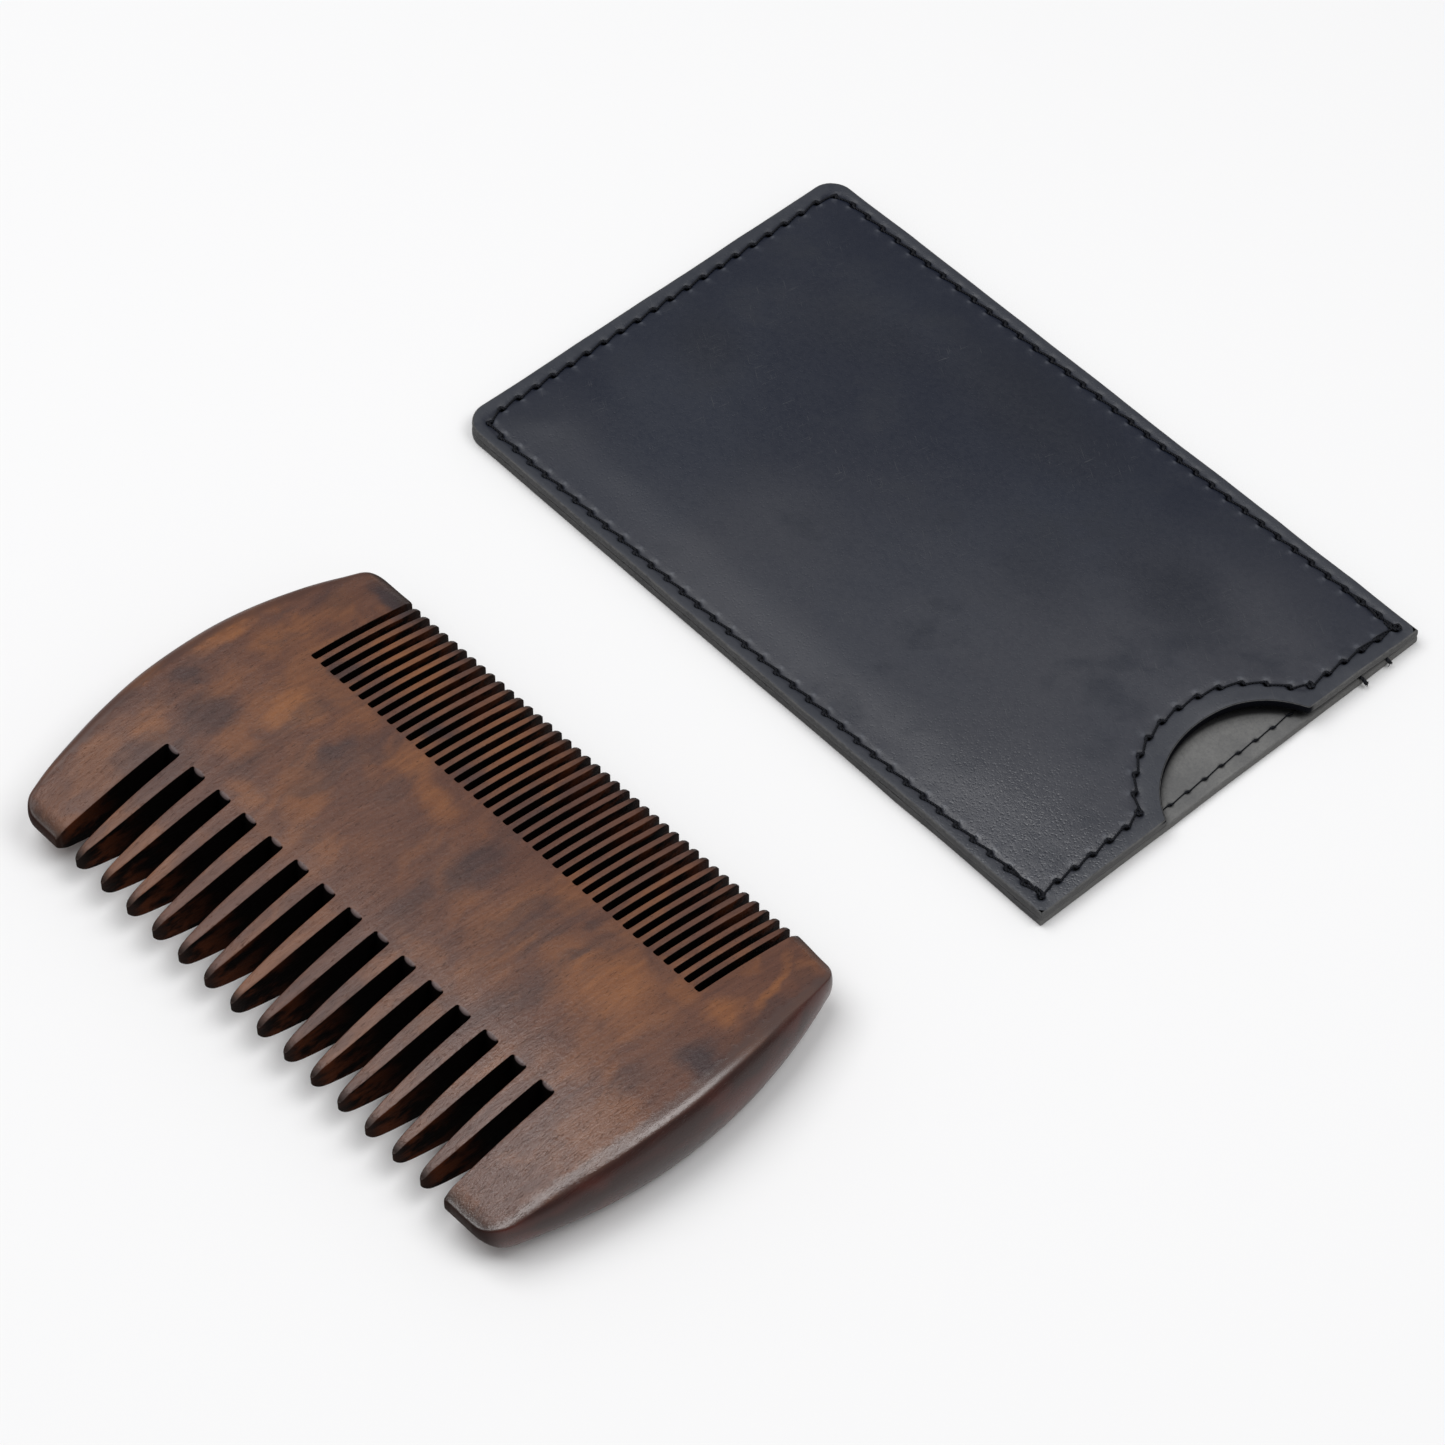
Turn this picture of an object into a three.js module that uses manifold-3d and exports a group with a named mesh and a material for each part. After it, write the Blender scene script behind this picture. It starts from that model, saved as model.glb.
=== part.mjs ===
// Double-sided wooden beard comb lying beside its flat stitched leather sleeve.
// Units are millimetres, +Z up. The comb rests on z = 0 with the centre of its flat resting
// face at the origin: X runs along the comb, -Y is the coarse-toothed edge, +Y the fine-toothed
// edge. The sleeve lies flat on the same plane on the +Y side, with its open mouth towards +X.
import * as THREE from 'three';
import { mergeVertices } from 'three/addons/utils/BufferGeometryUtils.js';
import Module from 'manifold-3d';

// ---------------------------------------------------------------- driving dimensions
// comb: one solid piece of hardwood
const COMB_THICK = 9.6;            // thickness of the spine
const COMB_END_R = 67.0;           // plan radius of the bowed ends
// the comb is shaped by hand, so its two ends differ a little
const RIGHT_END = { crown: 44.97, coarse: 4.2, fine: 2.6 };   // centre to crown, corner radii
const LEFT_END = { crown: 44.9, coarse: 3.4, fine: 3.2 };
const COMB_HALF_WID = 25.8;        // outline centre line to each row of tips
const COMB_CENTRE_Y = -0.7;        // outline centre line; the coarse teeth are the longer ones
const COMB_EDGE_R = 2.4;           // round-over of the bowed ends
const SPINE_FLAT = 4.0;            // half width of the flat strip along the spine
const TIP_HALF_THICK = 1.4;        // half thickness at the tips
const TAPER_POWER = 1.7;           // how the faces curve from the spine to the tips

const COARSE_GAPS = 15;            // 14 coarse teeth between two broad end teeth
const COARSE_PITCH = 4.507;
const COARSE_CENTRE_X = -0.58;
const COARSE_ROOT_Y = -10.15;

const FINE_GAPS = 40;              // 39 fine teeth between two broad end teeth
const FINE_PITCH = 1.648;
const FINE_CENTRE_X = 0.5;
const FINE_ROOT_Y = 10.15;

// sleeve: two leather panels sewn together along three sides
const SLEEVE_X = -1.5;             // centre of the sleeve in the comb's frame
const SLEEVE_Y = 80.4;
const SLEEVE_TURN = -1.2;          // degrees about +Z
const SLEEVE_LEN = 100.6;
const SLEEVE_WID = 61.8;
const SLEEVE_CORNER_R = 3.2;       // closed-end corners; the mouth corners are square
const LEATHER = 1.15;              // thickness of one panel
const PANEL_RISE = 0.5;            // how far the front panel stands off inside the seam
const SEAM_INSET = 1.85;           // side seam to the long edges
const SEAM_INSET_END = 2.1;        // side seam to the closed edge
const SEAM_CORNER_R = 2.0;
const MOUTH_SEAM_U = 47.8;         // front panel's mouth seam
const BACK_MOUTH_SEAM_U = 48.3;    // back panel's mouth seam
const MOUTH_SEAM_HALF = 27.2;
const NOTCH_U = 56.2, NOTCH_V = 0.65, NOTCH_R = 13.1;            // thumb notch in the front panel
const NOTCH_SEAM_U = 54.93, NOTCH_SEAM_V = 0.53, NOTCH_SEAM_R = 15.12;

// thread
const STITCH = 2.75;               // stitch length
const THREAD_W = 0.28;             // half width in the middle of a stitch
const THREAD_NECK = 0.14;          // half width at a needle hole
const THREAD_H = 0.3;
const INNER_THREAD_H = 0.22;
const GROOVE_W = 0.4;              // half width of the sunk seam line on the underside

// ---------------------------------------------------------------- solid helpers
const wasm = await Module();
wasm.setup();

function toSolid(geometry) {
  let g = geometry.index ? geometry : geometry.clone();
  g.deleteAttribute('normal');
  g.deleteAttribute('uv');
  g = mergeVertices(g, 1e-5);
  return new wasm.Manifold(new wasm.Mesh({
    numProp: 3,
    vertProperties: new Float32Array(g.attributes.position.array),
    triVerts: new Uint32Array(g.index.array),
  }));
}

function toGeometry(solid) {
  const m = solid.getMesh();
  const g = new THREE.BufferGeometry();
  g.setAttribute('position', new THREE.BufferAttribute(new Float32Array(m.vertProperties), 3));
  g.setIndex(new THREE.BufferAttribute(new Uint32Array(m.triVerts), 1));
  g.computeVertexNormals();
  return g;
}

const shapeOf = (points) => new THREE.Shape(points.map(([x, y]) => new THREE.Vector2(x, y)));

// a prism of a plan outline between two heights
function prism(points, z0, z1, options = {}) {
  const g = new THREE.ExtrudeGeometry(shapeOf(points), { depth: z1 - z0, bevelEnabled: false, steps: 1, ...options });
  g.translate(0, 0, z0);
  return g;
}

function arc(cx, cy, r, a0, a1, n) {
  const out = [];
  for (let i = 0; i <= n; i++) {
    const a = a0 + (a1 - a0) * i / n;
    out.push([cx + r * Math.cos(a), cy + r * Math.sin(a)]);
  }
  return out;
}

// ---------------------------------------------------------------- comb
const MID_Z = COMB_THICK / 2;

function halfThick(v) {            // half thickness at distance v from the outline's centre line
  const a = Math.max(Math.abs(v) - SPINE_FLAT, 0) / (COMB_HALF_WID - SPINE_FLAT);
  return MID_Z - (MID_Z - TIP_HALF_THICK) * Math.pow(a, TAPER_POWER);
}

function smooth(x, a, b) {
  const t = Math.min(Math.max((x - a) / (b - a), 0), 1);
  return t * t * (3 - 2 * t);
}

// one bowed end, from its lower corner round to its upper one, crown towards +X
function bowedEnd(crown, lowR, highR) {
  const cx = crown - COMB_END_R;
  const centre = (r) => [cx + Math.sqrt((COMB_END_R - r) ** 2 - (COMB_HALF_WID - r) ** 2), COMB_HALF_WID - r];
  const [x1, f1] = centre(lowR), [x2, f2] = centre(highR);
  const a1 = Math.atan2(f1, x1 - cx), a2 = Math.atan2(f2, x2 - cx);
  return [
    ...arc(x1, -f1, lowR, -Math.PI / 2, -a1, 5),
    ...arc(cx, 0, COMB_END_R, -a1, a2, 14).slice(1, -1),
    ...arc(x2, f2, highR, a2, Math.PI / 2, 5),
  ];
}

// the row of fine tips rises slightly to the left, and falls off on the right broad tooth
const fineTipShift = (x) => 0.15 - 0.0068 * x - 0.36 * smooth(x, 33, 38.5);

function combOutline() {
  const right = bowedEnd(RIGHT_END.crown, RIGHT_END.coarse, RIGHT_END.fine);
  const tips = [[37.0, COMB_HALF_WID], [35.6, COMB_HALF_WID], [34.2, COMB_HALF_WID], [33.0, COMB_HALF_WID]];
  const left = bowedEnd(LEFT_END.crown, LEFT_END.fine, LEFT_END.coarse).map(([x, y]) => [-x, -y])
    .map(([x, y]) => [x + 0.011 * y + 0.55 * smooth(y, 15, 24.5) + 0.25 * smooth(-y, 20, 24.5), y]);
  return [...right, ...tips, ...left].map(([x, y]) => [x, y + COMB_CENTRE_Y])
    .map(([x, y]) => [x, y + fineTipShift(x) * smooth(y, 12, 24.5)]);
}

function combSolid() {
  const block = toSolid(prism(combOutline(), COMB_EDGE_R, COMB_THICK - COMB_EDGE_R, {
    bevelEnabled: true, bevelThickness: COMB_EDGE_R, bevelSize: COMB_EDGE_R,
    bevelOffset: -COMB_EDGE_R, bevelSegments: 3,
  }));

  // side profile, thin at both rows of tips, run along X
  const vs = [-25.8, -23.6, -20.6, -17.2, -13.4, -9.0, -SPINE_FLAT, SPINE_FLAT, 9.0, 13.4, 17.2, 20.6, 23.6, 25.8];
  const margin = 1.6;
  const top = vs.map((v) => [v + COMB_CENTRE_Y, MID_Z + halfThick(v)]);
  const bottom = vs.map((v) => [v + COMB_CENTRE_Y, MID_Z - halfThick(v)]).reverse();
  const profile = [
    ...top, [COMB_HALF_WID + COMB_CENTRE_Y + margin, MID_Z],
    ...bottom, [-COMB_HALF_WID + COMB_CENTRE_Y - margin, MID_Z],
  ].reverse();
  const lens = new THREE.ExtrudeGeometry(shapeOf(profile), { depth: RIGHT_END.crown + LEFT_END.crown + 4, bevelEnabled: false });
  lens.applyMatrix4(new THREE.Matrix4().set(
    0, 0, 1, -LEFT_END.crown - 2,
    1, 0, 0, 0,
    0, 1, 0, 0,
    0, 0, 0, 1));
  let comb = block.intersect(toSolid(lens));

  // coarse gaps: the teeth narrow slowly, then round in to the tips
  const coarse = [[1.15, -10.15], [1.25, -16.0], [1.38, -20.0], [1.54, -23.0], [1.75, -25.0], [2.0, -26.1], [2.2, -27.2]];
  const broad = [[1.15, -10.15], [1.2, -20.0], [1.28, -24.5], [1.6, -27.2]];   // the broad end tooth's side
  const root = [[-0.6, -10.38], [0, -10.46], [0.6, -10.38]];                   // the filed root swells into the gap
  for (let i = 0; i < COARSE_GAPS; i++) {
    const x = COARSE_CENTRE_X + (i - (COARSE_GAPS - 1) / 2) * COARSE_PITCH;
    const lhs = (i === 0 ? broad : coarse).map(([w, y]) => [x - w, y]);
    const rhs = (i === COARSE_GAPS - 1 ? broad : coarse).map(([w, y]) => [x + w, y]);
    comb = comb.subtract(toSolid(prism([...lhs, ...rhs.reverse(), ...root.map(([w, y]) => [x - w, y])], -1, COMB_THICK + 1)));
  }

  // fine gaps: plain saw cuts that open a little at the tips
  const fine = [[0.41, FINE_ROOT_Y], [0.41, 22.3], [0.60, 24.4], [0.70, 26.4]];
  for (let i = 0; i < FINE_GAPS; i++) {
    const x = FINE_CENTRE_X + (i - (FINE_GAPS - 1) / 2) * FINE_PITCH;
    const lhs = (i === 0 ? fine.slice(0, 1).concat([[0.45, 26.4]]) : fine).map(([w, y]) => [x - w, y]);
    const rhs = (i === FINE_GAPS - 1 ? fine.slice(0, 1).concat([[0.45, 26.4]]) : fine).map(([w, y]) => [x + w, y]);
    comb = comb.subtract(toSolid(prism([...rhs, ...lhs.reverse()], -1, COMB_THICK + 1)));
  }
  return comb;
}

// ---------------------------------------------------------------- sleeve (u along it, v across)
const HALF_L = SLEEVE_LEN / 2, HALF_W = SLEEVE_WID / 2;

function panelOutline() {
  const c = 0.4, r = SLEEVE_CORNER_R;
  return [
    ...arc(HALF_L - c, -HALF_W + c, c, -Math.PI / 2, 0, 2),
    ...arc(HALF_L - c, HALF_W - c, c, 0, Math.PI / 2, 2),
    ...arc(-HALF_L + r, HALF_W - r, r, Math.PI / 2, Math.PI, 6),
    ...arc(-HALF_L + r, -HALF_W + r, r, Math.PI, 1.5 * Math.PI, 6),
  ];
}

// paths as lists of points
function sideSeamPath() {
  const v = HALF_W - SEAM_INSET, u = -HALF_L + SEAM_INSET_END, r = SEAM_CORNER_R;
  return [
    [HALF_L - 2.0, v], ...arc(u + r, v - r, r, Math.PI / 2, Math.PI, 4),
    ...arc(u + r, -v + r, r, Math.PI, 1.5 * Math.PI, 4), [HALF_L - 2.0, -v],
  ];
}
function frontMouthPath() {
  const a = Math.acos((MOUTH_SEAM_U - NOTCH_SEAM_U) / NOTCH_SEAM_R);
  return [
    [MOUTH_SEAM_U, MOUTH_SEAM_HALF],
    ...arc(NOTCH_SEAM_U, NOTCH_SEAM_V, NOTCH_SEAM_R, a, 2 * Math.PI - a, 14),
    [MOUTH_SEAM_U, -MOUTH_SEAM_HALF],
  ];
}
const backMouthPath = () => [[BACK_MOUTH_SEAM_U, MOUTH_SEAM_HALF], [BACK_MOUTH_SEAM_U, -MOUTH_SEAM_HALF]];

// points spaced evenly along a path, with the unit normal at each
function sample(path, step) {
  const acc = [0];
  for (let i = 1; i < path.length; i++) acc.push(acc[i - 1] + Math.hypot(path[i][0] - path[i - 1][0], path[i][1] - path[i - 1][1]));
  const total = acc[acc.length - 1];
  const n = Math.round(total / step);
  const at = (s) => {
    let i = 1;
    while (i < path.length - 1 && acc[i] < s) i++;
    const t = (s - acc[i - 1]) / (acc[i] - acc[i - 1]);
    return [path[i - 1][0] + t * (path[i][0] - path[i - 1][0]), path[i - 1][1] + t * (path[i][1] - path[i - 1][1])];
  };
  const out = [];
  for (let k = 0; k <= n; k++) {
    const s = total * k / n, d = 0.25;
    const a = at(Math.max(s - d, 0)), b = at(Math.min(s + d, total)), p = at(s);
    const l = Math.hypot(b[0] - a[0], b[1] - a[1]);
    out.push({ p, n: [-(b[1] - a[1]) / l, (b[0] - a[0]) / l] });
  }
  return out;
}

// a run of stitches as one ribbon that narrows at every needle hole
function threadOutline(path) {
  const s = sample(path, STITCH / 2);
  const w = s.map((_, k) => (k % 2 ? THREAD_W : THREAD_NECK));
  return [
    ...s.map(({ p, n }, k) => [p[0] - n[0] * w[k], p[1] - n[1] * w[k]]),
    ...s.map(({ p, n }, k) => [p[0] + n[0] * w[k], p[1] + n[1] * w[k]]).reverse(),
  ];
}

// a plain band along a path, running past both ends
function bandOutline(path, w, past) {
  const pts = path.map((q) => q.slice());
  const push = (a, b) => { const l = Math.hypot(a[0] - b[0], a[1] - b[1]); a[0] += (a[0] - b[0]) / l * past; a[1] += (a[1] - b[1]) / l * past; };
  push(pts[0], pts[1]);
  push(pts[pts.length - 1], pts[pts.length - 2]);
  const n = pts.map((_, i) => {
    const a = pts[Math.max(i - 1, 0)], b = pts[Math.min(i + 1, pts.length - 1)];
    const l = Math.hypot(b[0] - a[0], b[1] - a[1]);
    return [-(b[1] - a[1]) / l, (b[0] - a[0]) / l];
  });
  return [
    ...pts.map((p, i) => [p[0] - n[i][0] * w, p[1] - n[i][1] * w]),
    ...pts.map((p, i) => [p[0] + n[i][0] * w, p[1] + n[i][1] * w]).reverse(),
  ];
}

const rect = (u0, v0, u1, v1) => [[u0, v0], [u1, v0], [u1, v1], [u0, v1]];

// flat joined margin on three sides, standing off by PANEL_RISE inside the side seam, so that
// the pocket between the two panels is a real gap, open at the mouth
function frontPanel() {
  const flat = toSolid(prism(panelOutline(), LEATHER, 2 * LEATHER));
  const rim = 1.0;                                        // side seam to the foot of the slope
  const foot = rect(-HALF_L + SEAM_INSET_END + rim * 0.6, -HALF_W + SEAM_INSET + rim * 0.6, HALF_L + 4, HALF_W - SEAM_INSET - rim * 0.6);
  const raised = toSolid(prism(foot, 2 * LEATHER - 0.05, 2 * LEATHER, {
    bevelEnabled: true, bevelThickness: PANEL_RISE, bevelSize: 0.9, bevelOffset: -0.9, bevelSegments: 1,
  }));
  const clip = toSolid(prism(panelOutline(), LEATHER + 0.3, 2 * LEATHER + 2));
  const pocket = toSolid(prism(
    rect(-HALF_L + SEAM_INSET_END + 1.6, -HALF_W + SEAM_INSET + 1.6, HALF_L + 2, HALF_W - SEAM_INSET - 1.6),
    LEATHER - 1, LEATHER + PANEL_RISE));
  const notch = toSolid(prism(arc(NOTCH_U, NOTCH_V, NOTCH_R, 0, 2 * Math.PI, 48).slice(0, -1), LEATHER - 1, 2 * LEATHER + 3));
  return flat.add(raised.intersect(clip)).subtract(pocket).subtract(notch);
}

// flat panel with the side seam and its own mouth seam sunk into the underside
function backPanel() {
  const flat = toSolid(prism(panelOutline(), 0, LEATHER));
  const sideGroove = toSolid(prism(bandOutline(sideSeamPath(), GROOVE_W, 0.2), -1, THREAD_H));
  const mouthGroove = toSolid(prism(bandOutline(backMouthPath(), GROOVE_W, 0.2), -1, THREAD_H));
  return flat.subtract(sideGroove).subtract(mouthGroove);
}

// inside of the back panel's mouth seam, with its two cut thread tails
function backMouthInner() {
  const run = toSolid(prism(threadOutline(backMouthPath()), LEATHER, LEATHER + INNER_THREAD_H));
  const tail = (v, dv, u) => toSolid(prism(
    [[BACK_MOUTH_SEAM_U - 0.1, v - 0.17], [u, v + dv - 0.15], [u, v + dv + 0.15], [BACK_MOUTH_SEAM_U - 0.1, v + 0.17]],
    LEATHER, LEATHER + INNER_THREAD_H));
  return run.add(tail(25.4, 0.5, 51.2)).add(tail(21.6, -0.3, 51.4));
}

// ---------------------------------------------------------------- scene graph
const WOOD = () => new THREE.MeshStandardMaterial({ color: 0x54382a, roughness: 0.42, metalness: 0 });
const HIDE = () => new THREE.MeshStandardMaterial({ color: 0x262c38, roughness: 0.5, metalness: 0 });
const THREAD = () => new THREE.MeshStandardMaterial({ color: 0x10131a, roughness: 0.7, metalness: 0 });

function named(name, geometry, material) {
  const mesh = new THREE.Mesh(geometry, material);
  mesh.name = name;
  return mesh;
}

const comb = new THREE.Group();
comb.add(named('comb_body', toGeometry(combSolid()), WOOD()));

const sleeve = new THREE.Group();
sleeve.position.set(SLEEVE_X, SLEEVE_Y, 0);
sleeve.rotation.z = THREE.MathUtils.degToRad(SLEEVE_TURN);
sleeve.add(
  named('sleeve_back_panel', toGeometry(backPanel()), HIDE()),
  named('sleeve_front_panel', toGeometry(frontPanel()), HIDE()),
  named('side_seam_front_thread', prism(threadOutline(sideSeamPath()), 2 * LEATHER, 2 * LEATHER + THREAD_H), THREAD()),
  named('side_seam_back_thread', prism(threadOutline(sideSeamPath()), 0, THREAD_H), THREAD()),
  named('front_mouth_outer_thread', prism(threadOutline(frontMouthPath()), 2 * LEATHER + PANEL_RISE, 2 * LEATHER + PANEL_RISE + 0.25), THREAD()),
  named('front_mouth_inner_thread', prism(threadOutline(frontMouthPath()), LEATHER + PANEL_RISE - INNER_THREAD_H, LEATHER + PANEL_RISE), THREAD()),
  named('back_mouth_inner_thread', toGeometry(backMouthInner()), THREAD()),
  named('back_mouth_outer_thread', prism(threadOutline(backMouthPath()), 0, THREAD_H), THREAD()),
);

const group = new THREE.Group();
group.add(comb, sleeve);

export default group;
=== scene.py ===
# Looks of the two-sided wooden beard comb and its stitched leather sleeve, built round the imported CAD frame.
# Lengths below are written in millimetres in the part's own frame and turned into metres when a mesh is made.
import math

import bpy
import numpy as np
from mathutils import Matrix, Vector
from mathutils.geometry import delaunay_2d_cdt


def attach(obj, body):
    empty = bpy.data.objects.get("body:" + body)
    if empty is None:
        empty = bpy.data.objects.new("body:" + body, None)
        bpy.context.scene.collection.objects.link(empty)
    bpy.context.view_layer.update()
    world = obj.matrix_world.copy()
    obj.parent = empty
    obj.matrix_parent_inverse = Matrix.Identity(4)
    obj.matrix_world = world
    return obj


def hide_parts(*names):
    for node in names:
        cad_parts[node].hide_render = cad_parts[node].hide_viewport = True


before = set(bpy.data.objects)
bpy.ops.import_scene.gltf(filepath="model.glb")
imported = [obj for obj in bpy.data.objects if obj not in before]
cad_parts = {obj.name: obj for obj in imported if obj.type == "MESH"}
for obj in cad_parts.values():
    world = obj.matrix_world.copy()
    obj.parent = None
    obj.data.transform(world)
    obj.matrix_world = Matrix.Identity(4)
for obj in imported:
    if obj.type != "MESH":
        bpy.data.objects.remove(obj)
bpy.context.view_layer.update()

MM = 0.001

# ------------------------------------------------------------------------------------------------ dimensions
COMB_THICK = 9.6
MID_Z = COMB_THICK / 2
END_R, HALF_WID, CENTRE_Y = 67.0, 25.8, -0.7
RIGHT_END = (44.97, 4.2, 2.6)        # centre to crown, coarse corner radius, fine corner radius
LEFT_END = (44.90, 3.2, 3.4)         # centre to crown, fine corner radius, coarse corner radius
SPINE_FLAT, TIP_HALF, TAPER_POWER = 4.0, 1.4, 1.7
COARSE_GAPS, COARSE_PITCH, COARSE_X, COARSE_ROOT = 15, 4.507, -0.58, -10.15
FINE_GAPS, FINE_PITCH, FINE_X, FINE_ROOT = 40, 1.648, 0.5, 10.15
COARSE_TIP, FINE_TIP = CENTRE_Y - HALF_WID, CENTRE_Y + HALF_WID

SLEEVE_X, SLEEVE_Y, SLEEVE_TURN = -1.5, 80.4, math.radians(-1.2)
SLEEVE_LEN, SLEEVE_WID, SLEEVE_R = 100.6, 61.8, 3.2
HALF_L, HALF_W = SLEEVE_LEN / 2, SLEEVE_WID / 2
HIDE = 1.12
SEAM_V, SEAM_U = HALF_W - 1.85, -HALF_L + 2.1
NOTCH_U, NOTCH_V, NOTCH_R = 56.2, 0.65, 13.1
NSEAM_U, NSEAM_V, NSEAM_R = 54.93, 0.53, 15.12
MOUTH_U, BACK_MOUTH_U = 47.8, 48.3
STITCH = 2.75


# ------------------------------------------------------------------------------------------------ small maths
def smooth(x, a, b):
    t = np.clip((np.asarray(x, float) - a) / (b - a), 0.0, 1.0)
    return t * t * (3 - 2 * t)


def wave_noise(x, y, seed, scale, n=24):
    """Cheap smooth noise in about -1..1: a fixed sum of plane waves of nearly one wavelength."""
    rng = np.random.RandomState(seed)
    out = np.zeros(np.broadcast(np.asarray(x), np.asarray(y)).shape)
    for _ in range(n):
        a, ph, k = rng.uniform(0, 2 * np.pi), rng.uniform(0, 2 * np.pi), (2 * np.pi / scale) * rng.uniform(0.6, 1.5)
        out = out + np.sin(k * (np.cos(a) * x + np.sin(a) * y) + ph)
    return out / math.sqrt(n) / 1.3


def arc(cx, cy, r, a0, a1, n):
    a = np.linspace(a0, a1, n + 1)
    return np.column_stack([cx + r * np.cos(a), cy + r * np.sin(a)])


def dense(points, step, closed=False):
    """A polyline with points no further apart than step, its corners kept."""
    pts = [np.asarray(p, float) for p in points]
    if closed:
        pts.append(pts[0])
    out = [pts[0]]
    for a, b in zip(pts, pts[1:]):
        n = max(1, int(math.ceil(np.linalg.norm(b - a) / step)))
        out += [a + (b - a) * k / n for k in range(1, n + 1)]
    if closed:
        out.pop()
    return np.array(out)


def even(path, count):
    """count + 1 points evenly spaced along a polyline, and their left-hand unit normals."""
    p = np.asarray(path, float)
    acc = np.concatenate([[0], np.cumsum(np.linalg.norm(np.diff(p, axis=0), axis=1))])
    s = np.linspace(0, acc[-1], count + 1)
    q = np.column_stack([np.interp(s, acc, p[:, k]) for k in (0, 1)])
    e = 0.2
    a = np.column_stack([np.interp(np.clip(s - e, 0, acc[-1]), acc, p[:, k]) for k in (0, 1)])
    b = np.column_stack([np.interp(np.clip(s + e, 0, acc[-1]), acc, p[:, k]) for k in (0, 1)])
    t = (b - a) / np.linalg.norm(b - a, axis=1)[:, None]
    return q, np.column_stack([-t[:, 1], t[:, 0]]), acc[-1]


def inside(points, ring):
    """Which points lie inside a closed ring."""
    x, y = points[:, 0], points[:, 1]
    ok = np.zeros(len(points), bool)
    a, b = ring, np.roll(ring, -1, axis=0)
    for (x0, y0), (x1, y1) in zip(a, b):
        if y0 == y1:
            continue
        hit = ((y0 > y) != (y1 > y)) & (x < (x1 - x0) * (y - y0) / (y1 - y0) + x0)
        ok ^= hit
    return ok


def nearest(points, targets, chunk=400):
    """Distance from each point to the nearest target, and that target's index."""
    d = np.empty(len(points)); k = np.empty(len(points), int)
    for i in range(0, len(points), chunk):
        m = ((points[i:i + chunk, None, :] - targets[None]) ** 2).sum(-1)
        k[i:i + chunk] = m.argmin(1)
        d[i:i + chunk] = np.sqrt(m.min(1))
    return d, k


def thin(points, ring, least, own):
    """Points kept clear of the ring by least, and of each other by own."""
    d, _ = nearest(points, ring)
    points = points[d > least]
    seen, out = {}, []
    for p in points:
        c = (int(math.floor(p[0] / own)), int(math.floor(p[1] / own)))
        if any(np.hypot(*(p - q)) < own for i in (-1, 0, 1) for j in (-1, 0, 1) for q in seen.get((c[0] + i, c[1] + j), ())):
            continue
        seen.setdefault(c, []).append(p)
        out.append(p)
    return np.array(out)


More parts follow.
